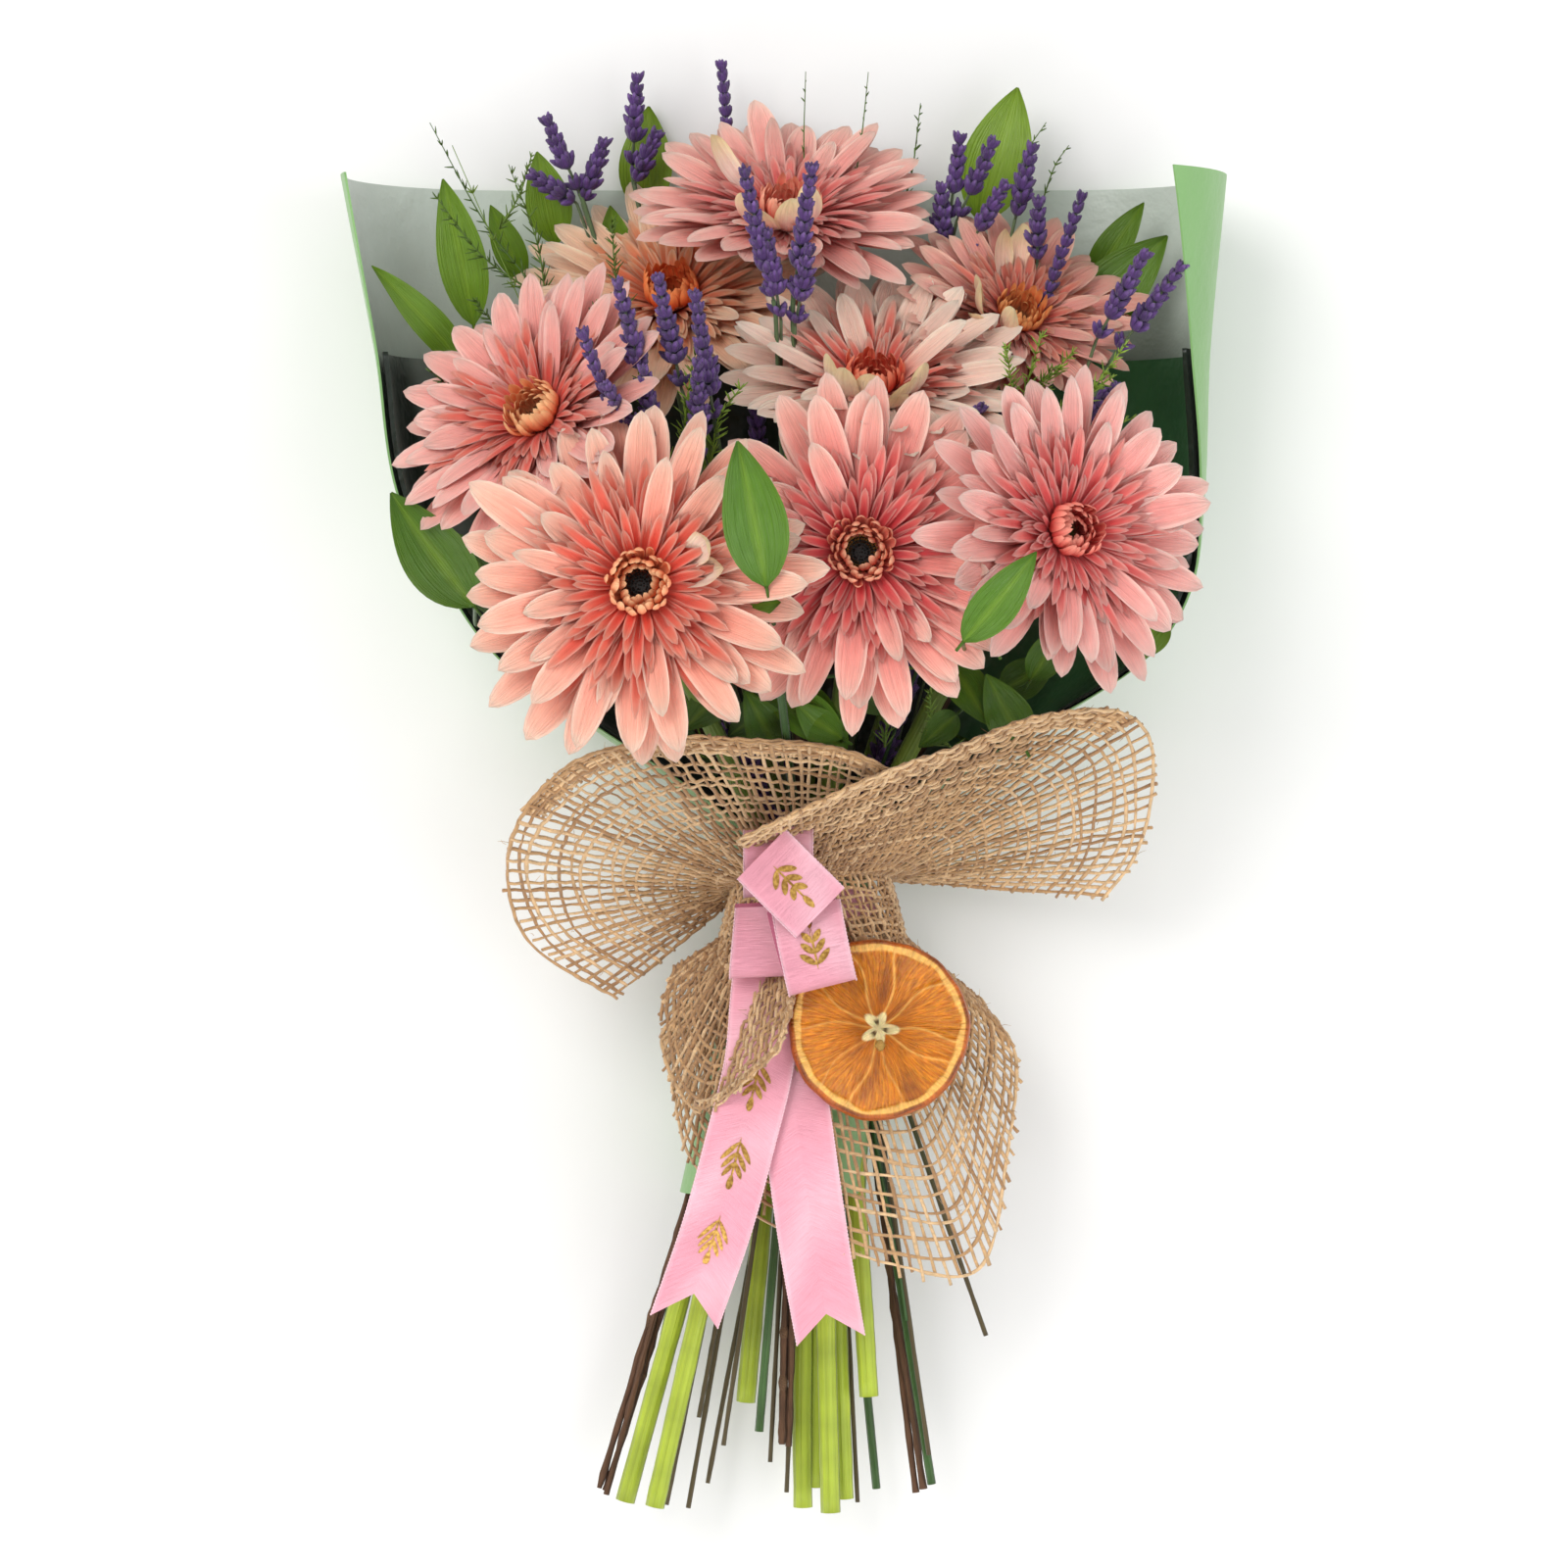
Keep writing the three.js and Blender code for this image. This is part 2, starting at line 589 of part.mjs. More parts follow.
function wrapSheet(yLow, yHigh, inset, thick) {
  const rows = SHEET_ROWS.filter((y) => y >= yLow && y <= yHigh);
  const at = (i, j) => {
    const row = rows[THREE.MathUtils.clamp(j, 0, rows.length - 1)];
    return onSection(-1 + (2 * i) / (SHEET_COLUMNS - 1), row, inset);
  };
  return slab(at, SHEET_COLUMNS, rows.length, thick, 1);
}
const liningInset = SHEET_THICK + GAP + 1.2;
addPiece("wrap_sheet", parted(wrapSheet(SHEET_ROWS[0], WRAP_TOP, 0, SHEET_THICK)), "sheet");
addCutter(wrapSheet(SHEET_ROWS[0], WRAP_TOP, -GAP, SHEET_THICK + 2 * GAP));
addPiece("wrap_lining", parted(wrapSheet(-22, LINING_TOP, liningInset, SHEET_THICK)), "lining");

// ---- burlap: both pieces are fans that start on an arc round the tied waist ----

const arcPoint = (radius, degrees, y) =>
  V(TIE.x + radius * Math.cos(rad(degrees)), y, TIE.z + radius * Math.sin(rad(degrees)));

// A sheet from an arc round the waist to an outer edge given by control points. `sag` is how far
// the middle of each line hangs off the straight way, along +Z.
function fan(radius, fromAngle, toAngle, y, edge, sag, columns, rows) {
  const curve = new THREE.CatmullRomCurve3(edge, false, "centripetal");
  const at = (i, j) => {
    const u = THREE.MathUtils.clamp(i, 0, columns - 1) / (columns - 1);
    const v = THREE.MathUtils.clamp(j, 0, rows - 1) / (rows - 1);
    const start = arcPoint(radius, THREE.MathUtils.lerp(fromAngle, toAngle, u), y);
    const point = start.lerp(curve.getPoint(u), v);
    point.z += sag * Math.sin(Math.PI * v);
    return point;
  };
  return slab(at, columns, rows, BURLAP_THICK, 0.5);
}

const skirtR = waist + GAP + BURLAP_THICK / 2;
const collarR = skirtR + BURLAP_THICK + GAP;
const SKIRT_EDGE = [
  V(74, -120, 34), V(82, -108, 60), V(70, -174, 62), V(40, -168, 74), V(12, -160, 74),
  V(-6, -156, 70), V(-34, -140, 60), V(-44, -96, 36),
];
const COLLAR_EDGE = [
  V(117, -40, 50), V(132, -10, 70), V(129, 27, 92), V(88, 26, 112), V(34, 14, 112), V(-10, 16, 112),
  V(-39, 17, 110), V(-71, 11, 98), V(-101, -28, 72), V(-94, -56, 58), V(-62, -77, 44),
];
addPiece("burlap_skirt", parted(fan(skirtR, -20, 200, -52, SKIRT_EDGE, 6, 15, 6)), "burlap");
addPiece("burlap_collar", parted(fan(collarR, -20, 200, -30, COLLAR_EDGE, -4, 19, 6)), "burlap");

const ribbonR = collarR + BURLAP_THICK / 2 + GAP;

// ---- ribbon: a band, a bow of flat loops that hang over the orange slice, and two tails ----

// A strip of ribbon along `path`; `across` points to its right-hand side all the way.
function strip(path, across, width, steps) {
  const curve = new THREE.CatmullRomCurve3(path, false, "centripetal");
  const side = across.clone().normalize().multiplyScalar(width);
  const at = (i, j) => {
    const point = curve.getPoint(THREE.MathUtils.clamp(i, 0, steps) / steps);
    return point.addScaledVector(side, THREE.MathUtils.clamp(j, 0, 1) - 0.5);
  };
  return slab(at, steps + 1, 2, RIBBON_THICK, 0.5);
}

const RIBBONS = [
  {
    name: "ribbon_tail_right", across: V(1, 0.16, 0), steps: 10,
    path: [
      V(6, -58, 64), V(4, -80, 68), V(3, -105, 73), V(6, -130, 79), V(11, -165, 79), V(17, -202, 67),
    ],
  },
  {
    name: "ribbon_tail_left", across: V(1, -0.2, 0), steps: 10,
    path: [
      V(-5, -58, 66), V(-7, -78, 72), V(-9, -100, 77), V(-15, -125, 81), V(-24, -158, 82),
      V(-36, -195, 70),
    ],
  },
  {
    name: "ribbon_loop_left", across: V(1, 0.04, 0), steps: 10,
    path: [
      V(-5, -42, 66), V(-6, -54, 74), V(-7, -65, 75.5), V(-7, -68.5, 78), V(-7, -65, 81), V(-6, -54, 81),
      V(-5, -43, 77),
    ],
  },
  {
    name: "ribbon_loop_front", across: V(1, 0.25, 0), steps: 10,
    path: [
      V(6, -42, 83), V(9, -54, 84.5), V(13, -68, 84.5), V(14, -72, 87), V(13, -68, 91), V(10, -54, 92),
      V(8, -43, 89),
    ],
  },
  {
    name: "ribbon_loop_top", across: V(1, 0.08, 0), steps: 10,
    path: [
      V(-2, -38, 66), V(-2, -27, 72), V(-2, -17, 80), V(-2, -15, 87), V(-2, -22, 92), V(-2, -32, 88),
      V(-2, -39, 72),
    ],
  },
  {
    name: "ribbon_fold", across: V(0.7, 0.72, 0), steps: 4,
    path: [V(-8, -24, 96), V(2, -34, 97), V(13, -45, 95)],
  },
];

const band = ring(ribbonR, ribbonR + RIBBON_THICK, BAND_OF_RIBBON).translate(TIE.x, TIE.y - 6, TIE.z);
addPiece("ribbon_band", parted(weld(band)), "ribbon");
for (const { name, path, across, steps } of RIBBONS)
  addPiece(name, parted(strip(path, across, RIBBON_WIDTH, steps)), "ribbon");

// ---- dried orange slice ----

// The slice hangs beside the left loop: its rim, up and to the left of its middle, clears the loop.
const LOOP_SIDE = RIBBON_WIDTH / 2 - 4.5;
const ORANGE_AT = V(LOOP_SIDE + 0.8 * ORANGE_R, -67.5 - 0.6 * ORANGE_R, 77.5);
const ORANGE_FACES = V(0.05, 0.15, 1).normalize();
const slice = new THREE.CylinderGeometry(ORANGE_R, ORANGE_R - 0.8, ORANGE_THICK, 32);
slice.applyQuaternion(new THREE.Quaternion().setFromUnitVectors(V(0, 1, 0), ORANGE_FACES));
addPiece("orange_slice", parted(weld(slice.translate(...ORANGE_AT.toArray()))), "orange");

// ---- the origin: the middle of the bottom of the bounding box ----

const bounds = new THREE.Box3().setFromObject(group);
const middle = bounds.getCenter(V(0, 0, 0));
group.children.forEach((mesh) => mesh.geometry.translate(-middle.x, -middle.y, -bounds.min.z));

export default group;
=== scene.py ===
"""The looks of a bunch of gerberas that lies on its back, seen from above.

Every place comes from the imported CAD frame. Lengths are metres and MM turns millimetres into
metres. Natural pieces are built as meshes with a colour at each vertex, and the materials add
veins, weave and grain to those colours.
"""
import heapq
import math

import bpy
import numpy as np
from mathutils import Matrix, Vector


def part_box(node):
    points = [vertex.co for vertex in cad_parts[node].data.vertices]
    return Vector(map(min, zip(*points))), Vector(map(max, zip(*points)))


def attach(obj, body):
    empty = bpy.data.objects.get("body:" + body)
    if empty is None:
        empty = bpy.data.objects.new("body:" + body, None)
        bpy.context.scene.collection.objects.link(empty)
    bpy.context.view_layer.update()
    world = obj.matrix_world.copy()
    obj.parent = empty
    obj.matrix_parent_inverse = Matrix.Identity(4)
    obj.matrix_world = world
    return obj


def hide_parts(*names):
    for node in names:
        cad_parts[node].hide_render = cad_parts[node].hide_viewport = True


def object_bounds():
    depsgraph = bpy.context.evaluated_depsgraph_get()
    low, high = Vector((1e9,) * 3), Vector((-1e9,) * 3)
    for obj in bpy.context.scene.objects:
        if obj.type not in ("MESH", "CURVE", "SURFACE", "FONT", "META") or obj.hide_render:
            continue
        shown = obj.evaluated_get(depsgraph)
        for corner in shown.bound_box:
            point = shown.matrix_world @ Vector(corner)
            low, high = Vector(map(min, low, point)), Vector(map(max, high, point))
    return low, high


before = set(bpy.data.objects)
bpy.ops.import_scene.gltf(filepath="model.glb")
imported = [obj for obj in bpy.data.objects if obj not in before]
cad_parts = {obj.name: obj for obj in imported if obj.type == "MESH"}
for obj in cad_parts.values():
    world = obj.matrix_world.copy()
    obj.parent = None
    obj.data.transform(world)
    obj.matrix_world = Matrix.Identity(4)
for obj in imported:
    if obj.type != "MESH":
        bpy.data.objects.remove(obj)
CAD_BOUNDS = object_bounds()

MM = 0.001
rng = np.random.default_rng(20)

# ---------------------------------------------------------------- small vector helpers


def unit(v):
    v = np.asarray(v, float)
    return v / max(np.linalg.norm(v), 1e-12)


def lerp(a, b, t):
    return a + (b - a) * t


def smooth(t):
    t = np.clip(t, 0, 1)
    return t * t * (3 - 2 * t)


def srgb(r, g, b):
    """Linear colour from 0-255 sRGB numbers."""
    c = np.array([r, g, b], float) / 255
    return np.where(c <= 0.04045, c / 12.92, ((c + 0.055) / 1.055) ** 2.4)


def frame_to(z_axis, x_hint=(1, 0, 0)):
    """Columns x, y, z of a right-handed frame whose z is z_axis."""
    z = unit(z_axis)
    x = np.asarray(x_hint, float)
    x = unit(x - z * (x @ z))
    return np.stack([x, np.cross(z, x), z], axis=1)


def spun(points, angle):
    """Points turned about the Z axis."""
    c, s = math.cos(angle), math.sin(angle)
    return points @ np.array([[c, s, 0], [-s, c, 0], [0, 0, 1]])


def off_axis(around, away):
    """A unit vector that leans away from +Z by one angle, in the direction of the other."""
    return np.array([math.cos(around) * math.sin(away), math.sin(around) * math.sin(away), math.cos(away)])


def full_turn(count):
    return np.linspace(0, 2 * math.pi, count, endpoint=False)


def principal(points):
    """Middle, the three main directions from the longest to the shortest, and the shortest turned up."""
    middle = points.mean(axis=0)
    _, _, axes = np.linalg.svd(points - middle)
    return middle, axes, axes[2] if axes[2][2] > 0 else -axes[2]


def spline(knots, count):
    """A smooth curve through knots with `count` points, evenly spaced along it."""
    knots = np.asarray(knots, float)
    padded = np.vstack([2 * knots[0] - knots[1], knots, 2 * knots[-1] - knots[-2]])
    pieces = []
    for i in range(len(knots) - 1):
        p0, p1, p2, p3 = padded[i : i + 4]
        t = np.linspace(0, 1, 16, endpoint=False)[:, None]
        pieces.append(
            0.5
            * (2 * p1 + (p2 - p0) * t + (2 * p0 - 5 * p1 + 4 * p2 - p3) * t**2
               + (3 * p1 - p0 - 3 * p2 + p3) * t**3)
        )
    fine = np.vstack(pieces + [knots[-1:]])
    run = np.concatenate([[0], np.cumsum(np.linalg.norm(np.diff(fine, axis=0), axis=1))])
    want = np.linspace(0, run[-1], count)
    return np.stack([np.interp(want, run, fine[:, k]) for k in range(fine.shape[1])], axis=1)


# ---------------------------------------------------------------- mesh builder


class Builder:
    """Collects patches of mesh, each with a colour at every vertex, and makes one object of them."""

    def __init__(self):
        self.points, self.colours, self.uvs = [], [], []
        self.faces, self.slots = [], []
        self.count = 0

    def add(self, points, faces, colours, uvs=None, slot=0):
        points = np.asarray(points, float)
        colours = np.broadcast_to(colours, (len(points), 3))
        self.points.append(points)
        self.colours.append(colours)
        self.uvs.append(np.zeros((len(points), 2)) if uvs is None else uvs)
        for f in faces:
            f = np.asarray(f) + self.count
            self.faces.append(f)
            self.slots.append(np.full(len(f), slot))
        self.count += len(points)

    def build(self, name, materials, body="root"):
        points = np.vstack(self.points)
        loops = np.concatenate([f.ravel() for f in self.faces])
        sizes = np.concatenate([np.full(len(f), f.shape[1]) for f in self.faces])
        starts = np.concatenate([[0], np.cumsum(sizes)[:-1]])
        mesh = bpy.data.meshes.new(name)
        mesh.vertices.add(len(points))
        mesh.vertices.foreach_set("co", points.ravel())
        mesh.loops.add(len(loops))
        mesh.loops.foreach_set("vertex_index", loops.astype(np.int32))
        mesh.polygons.add(len(sizes))
        mesh.polygons.foreach_set("loop_start", starts.astype(np.int32))
        mesh.polygons.foreach_set("material_index", np.concatenate(self.slots).astype(np.int32))
        mesh.update(calc_edges=True)
        mesh.validate()
        tint = mesh.color_attributes.new("Tint", "FLOAT_COLOR", "POINT")
        rgba = np.ones((len(points), 4))
        rgba[:, :3] = np.vstack(self.colours)
        tint.data.foreach_set("color", rgba.ravel())
        uv = mesh.uv_layers.new(name="Along")
        uv.data.foreach_set("uv", np.vstack(self.uvs)[loops].ravel())
        mesh.shade_smooth()
        for m in materials:
            mesh.materials.append(m)
        obj = bpy.data.objects.new(name, mesh)
        bpy.context.collection.objects.link(obj)
        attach(obj, body)
        return obj


def add(piece, slot, *nodes):
    """Hides the CAD nodes that a piece stands for. piece and slot are not used."""
    if nodes:
        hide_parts(*nodes)


def disc_faces(count):
    """Triangles from a ring of points to the middle point that follows it."""
    k = np.arange(count)
    return np.stack([k, (k + 1) % count, np.full(count, count)], axis=1)


def grid_faces(nu, nv, around=False):
    """Quads of a grid of nu rows by nv points; `around` joins each row's last point to its first."""
    i = np.arange(nu - 1)[:, None]
    j = np.arange(nv if around else nv - 1)[None, :]
    n = (j + 1) % nv
    return np.stack(
        [i * nv + j + 0 * n, i * nv + n, (i + 1) * nv + n, (i + 1) * nv + j + 0 * n], axis=-1
    ).reshape(-1, 4)


def tube(builder, path, radii, sides, colours, slot=0, flat=1.0):
    """A capped tube along path. colours has one row for each station."""
    path = np.asarray(path, float)
    n = len(path)
    radii = np.broadcast_to(radii, n)
    colours = np.broadcast_to(colours, (n, 3))
    along = np.gradient(path, axis=0)
    along /= np.maximum(np.linalg.norm(along, axis=1, keepdims=True), 1e-12)
    side = np.zeros_like(path)
    last = np.array([1.0, 0, 0]) if abs(along[0][0]) < 0.9 else np.array([0, 0, 1.0])
    for i in range(n):
        last = unit(last - along[i] * (last @ along[i]))
        side[i] = last
    other = np.cross(along, side)
    angle = full_turn(sides)
    ring = (
        path[:, None]
        + radii[:, None, None]
        * (side[:, None] * np.cos(angle)[:, None] + flat * other[:, None] * np.sin(angle)[:, None])
    )
    points = np.vstack([ring.reshape(-1, 3), path[:1], path[-1:]])
    tints = np.vstack([np.repeat(colours, sides, axis=0), colours[:1], colours[-1:]])
    k = np.arange(sides)
    nxt = (k + 1) % sides
    low, high = n * sides, n * sides + 1
    start = np.stack([np.full(sides, low), nxt, k], axis=1)
    end = np.stack([np.full(sides, high), (n - 1) * sides + k, (n - 1) * sides + nxt], axis=1)
    run = np.linspace(0, 1, n)
    uvs = np.stack([np.tile(angle / (2 * math.pi), n), np.repeat(run, sides)], axis=1)
    uvs = np.vstack([uvs, [[0, 0], [0, 1]]])
    builder.add(points, [grid_faces(n, sides, around=True), start, end], tints, uvs, slot)


# ---------------------------------------------------------------- reading the CAD frame


def node_mesh(name):
    """Merged vertices and edges of a CAD node, in metres."""
    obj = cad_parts[name]
    mesh = obj.data
    co = np.empty(len(mesh.vertices) * 3)
    mesh.vertices.foreach_get("co", co)
    matrix = np.array(obj.matrix_world)
    co = co.reshape(-1, 3) @ matrix[:3, :3].T + matrix[:3, 3]
    keys, index = np.unique(np.round(co / 1e-5).astype(int), axis=0, return_inverse=True)
    index = index.ravel()
    points = np.zeros((len(keys), 3))
    points[index] = co
    edges = np.empty(len(mesh.edges) * 2, int)
    mesh.edges.foreach_get("vertices", edges)
    edges = index[edges].reshape(-1, 2)
    return points, edges[edges[:, 0] != edges[:, 1]]


RING_GAP, WIDE_RING_GAP = 1.6 * MM, 5 * MM
FOOT_REACH, FOOT_RISE = 10 * MM, 3 * MM  # how far the foot's ring spreads from its lowest vertex


def distances(points, edges):
    """How far each vertex lies from a swept node's foot, along the mesh."""
    links = [[] for _ in points]
    for a, b in edges:
        d = float(np.linalg.norm(points[a] - points[b]))
        links[a].append((b, d))
        links[b].append((a, d))
    foot = points[np.argmin(points[:, 1])]
    at_foot = np.linalg.norm(points - foot, axis=1) < FOOT_REACH
    at_foot &= points[:, 1] < foot[1] + FOOT_RISE
    far = np.where(at_foot, 0.0, np.inf)
    queue = [(0.0, int(i)) for i in np.flatnonzero(at_foot)]
    while queue:
        d, i = heapq.heappop(queue)
        if d > far[i]:
            continue
        for j, step in links[i]:
            if d + step < far[j]:
                far[j] = d + step
                heapq.heappush(queue, (d + step, j))
    return far


def stations(name, gap=RING_GAP):
    """The rings of a swept CAD node from the end with the smallest y: their middles and radii.

    Rings are told apart by a jump of more than `gap` in the distance along the mesh.
    """
    points, edges = node_mesh(name)
    far = distances(points, edges)
    order = np.argsort(far)
    jumps = np.flatnonzero(np.diff(far[order]) > gap) + 1
    rings = [points[group] for group in np.split(order, jumps) if len(group) >= 4]
    middles = np.array([ring.mean(axis=0) for ring in rings])
    radii = np.array([np.linalg.norm(r - m, axis=1).mean() for r, m in zip(rings, middles)])
    return middles, radii


def stalk(name, gap=RING_GAP):
    """Middle line and usual radius of a stem."""
    line, radii = stations(name, gap)
    return line, float(np.median(radii))


def stalk_below_head(name):
    """Middle line and radius of a stalk, and the station where it swells into its head."""
    line, radii = stations(name)
    thin = float(np.median(radii[: len(radii) // 2]))
    return line, thin, int(np.argmax(radii > thin * 1.5))


TIE = np.mean(np.array(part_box("stem_band")), axis=0)


# ---------------------------------------------------------------- materials


class Nodes:
    """Short hand for wiring one material."""

    def __init__(self, name):
        self.material = bpy.data.materials.new(name)
        self.material.use_nodes = True
        self.tree = self.material.node_tree
        self.shader = self.tree.nodes["Principled BSDF"]

    def new(self, kind, **values):
        node = self.tree.nodes.new(kind)
        for key, value in values.items():
            if hasattr(node, key):
                setattr(node, key, value)
            else:
                node.inputs[key.replace("_", " ")].default_value = value
        return node

    def link(self, a, b):
        self.tree.links.new(a, b)

    def set(self, **values):
        for key, value in values.items():
            self.shader.inputs[key.replace("_", " ")].default_value = value

    def tint(self):
        return self.new("ShaderNodeVertexColor", layer_name="Tint").outputs["Color"]

    def along(self, across, length):
        """The piece's own coordinates, stretched: across it and along it."""
        uv = self.new("ShaderNodeUVMap", uv_map="Along").outputs["UV"]
        return self.stretched(uv, (across, length, 1))

    def stretched(self, vector, scale):
        node = self.new("ShaderNodeMapping")
        node.inputs["Scale"].default_value = scale
        self.link(vector, node.inputs["Vector"])
        return node.outputs["Vector"]

    def place(self, scale=(1, 1, 1)):
        """Position on the object, in metres times scale."""
        return self.stretched(self.new("ShaderNodeTexCoord").outputs["Object"], scale)

    def noise(self, vector, scale, detail=2.0, rough=0.5):
        node = self.new("ShaderNodeTexNoise", Scale=scale, Detail=detail, Roughness=rough)
        self.link(vector, node.inputs["Vector"])
        return node.outputs["Fac"]

    def remap(self, value, low, high, to_low, to_high):
        node = self.new("ShaderNodeMapRange")
        for key, number in zip(("From Min", "From Max", "To Min", "To Max"), (low, high, to_low, to_high)):
            node.inputs[key].default_value = number
        self.link(value, node.inputs["Value"])
        return node.outputs["Result"]

    def shade(self, colour, value):
        """The colour times a grey value."""
        node = self.new("ShaderNodeVectorMath", operation="SCALE")
        self.link(colour, node.inputs[0])
        self.link(value, node.inputs["Scale"])
        return node.outputs["Vector"]

    def mix(self, factor, a, b):
        node = self.new("ShaderNodeMix", data_type="RGBA")
        for source, socket in ((factor, node.inputs[0]), (a, node.inputs[6]), (b, node.inputs[7])):
            if isinstance(source, bpy.types.NodeSocket):
                self.link(source, socket)
            elif isinstance(source, (int, float)):
                socket.default_value = source
            else:
                socket.default_value = (*source, 1)
        return node.outputs[2]

    def colour(self, socket):
        self.link(socket, self.shader.inputs["Base Color"])

    def bump(self, height, distance, strength=1.0):
        node = self.new("ShaderNodeBump", Distance=distance, Strength=strength)
        self.link(height, node.inputs["Height"])
        self.link(node.outputs["Normal"], self.shader.inputs["Normal"])


def soft_plant(name, roughness, streaks, depth, glow=0.0, sheen=0.0, swing=0.12):
    """Vertex colours with fine streaks along the piece and a faint bump."""
    n = Nodes(name)
    streak = n.noise(n.along(*streaks), 1.0, 3.0, 0.6)
    blotch = n.noise(n.place(), 160, 2.0)
    tone = n.remap(streak, 0.3, 0.7, 1 - swing, 1 + swing * 0.6)
    spot = n.remap(blotch, 0.3, 0.7, 0.95, 1.04)
    n.colour(n.shade(n.shade(n.tint(), tone), spot))
    n.bump(streak, depth)
    n.set(Roughness=roughness)
    if glow:
        n.set(Subsurface_Weight=glow, Subsurface_Scale=0.003)
        n.shader.inputs["Subsurface Radius"].default_value = (1.0, 0.45, 0.35)
    if sheen:
        n.set(Sheen_Weight=sheen, Sheen_Roughness=0.4)
    return n.material


PETAL = soft_plant("petal", 0.50, (24, 1.0), 0.0010, glow=0.28, sheen=0.10, swing=0.12)
FLORET = soft_plant("floret", 0.6, (10, 2), 0.0004, glow=0.12, swing=0.1)
FLESHY_STEM = soft_plant("fleshy_stem", 0.42, (9, 2.5), 0.0014, glow=0.08, sheen=0.2, swing=0.26)
WOODY = soft_plant("woody", 0.8, (12, 16), 0.0016, swing=0.35)
LEAF = soft_plant("leaf", 0.33, (34, 1.0), 0.0008, glow=0.08, swing=0.10)
BUD = soft_plant("lavender_bud", 0.85, (9, 3), 0.0008, sheen=0.2, swing=0.22)
NEEDLE = soft_plant("needle", 0.55, (4, 4), 0.0003)

# ---------------------------------------------------------------- petals and gerbera heads


def blade(length, width, rise, curl, dish, shape, nu=9, nv=12, groove=0.0, twist=0.0):
    """A petal that starts at the origin and runs along +X with its upper face towards +Z.

    rise and curl are the angles at its base and what is added by its tip, in degrees. shape is
    (share of the full width at the base, where it is widest, how blunt the tip is).
    """
    u = np.linspace(-1, 1, nu)
    v = 1 - (1 - np.linspace(0, 1, nv)) ** 1.35
    base_share, widest, blunt = shape
    grow = base_share + (1 - base_share) * smooth(v / widest)
    over = np.clip((v - widest) / (1 - widest), 0, 1)
    half = width / 2 * grow * (1 - over**blunt) ** 0.62
    half = np.maximum(half, width * 0.012)
    angle = np.radians(rise + curl * v**1.6)
    step = np.diff(v, prepend=0) * length
    x = np.cumsum(np.cos(angle) * step)
    z = np.cumsum(np.sin(angle) * step)
    normal = np.stack([-np.sin(angle), 0 * angle, np.cos(angle)], axis=1)
    lift = dish * half[:, None] * u[None, :] ** 2
    if groove:
        ridges = np.cos(u * math.pi * 4) * groove
        lift = lift + ridges[None, :] * np.clip(v * 3, 0, 1)[:, None] * (1 - over[:, None] ** 3)
    middle = np.stack([x, 0 * x, z], axis=1)
    side = np.zeros((nv, nu, 3))
    side[:, :, 1] = half[:, None] * u[None, :]
    points = middle[:, None] + side + normal[:, None] * lift[:, :, None]
    points = points.reshape(-1, 3)
    if twist:
        roll = np.repeat(np.radians(twist) * v, nu)
        y, zz = points[:, 1].copy(), points[:, 2] - np.repeat(z, nu)
        points[:, 1] = y * np.cos(roll) - zz * np.sin(roll)
        points[:, 2] = np.repeat(z, nu) + y * np.sin(roll) + zz * np.cos(roll)
    uu, vv = np.meshgrid(u, v)
    return points, uu.ravel(), vv.ravel()


def petal_colours(u, v, base, body, tip, edge, tone):
    """Base to tip, with three darker veins and paler edges and tip."""
    c = lerp(base, body, smooth(v / 0.55)[:, None])
    c = lerp(c, tip, smooth((v - 0.5) / 0.5)[:, None])
    vein = (0.5 + 0.5 * np.cos(u * math.pi * 4)) * smooth(v * 3) * (1 - v**3) * (np.abs(u) < 0.9)
    c = c * (1 - 0.13 * vein[:, None] * np.array([0.35, 1.0, 0.9]))
    pale = 0.75 * np.abs(u) ** 5 * smooth((v - 0.2) / 0.5) + 0.6 * smooth((v - 0.86) / 0.14)
    return lerp(c, edge, np.clip(pale, 0, 0.9)[:, None]) * tone


RAY = (0.58, 0.60, 2.7)
STRAP = (0.6, 0.6, 2.8)


def flower_look(rays, mids, inners, eye, ring, curl, spread):
    """Colours of one flower: rays (base, body, tip, edge), mid and inner florets (base, tip), the eye
    and the ring round it, how far the inner florets curl in degrees, and how wide the mids spread."""
    return dict(
        rays=[srgb(*c) for c in rays], mids=[srgb(*c) for c in mids], inners=[srgb(*c) for c in inners],
        eye=srgb(*eye), ring=srgb(*ring), curl=curl, spread=spread,
    )


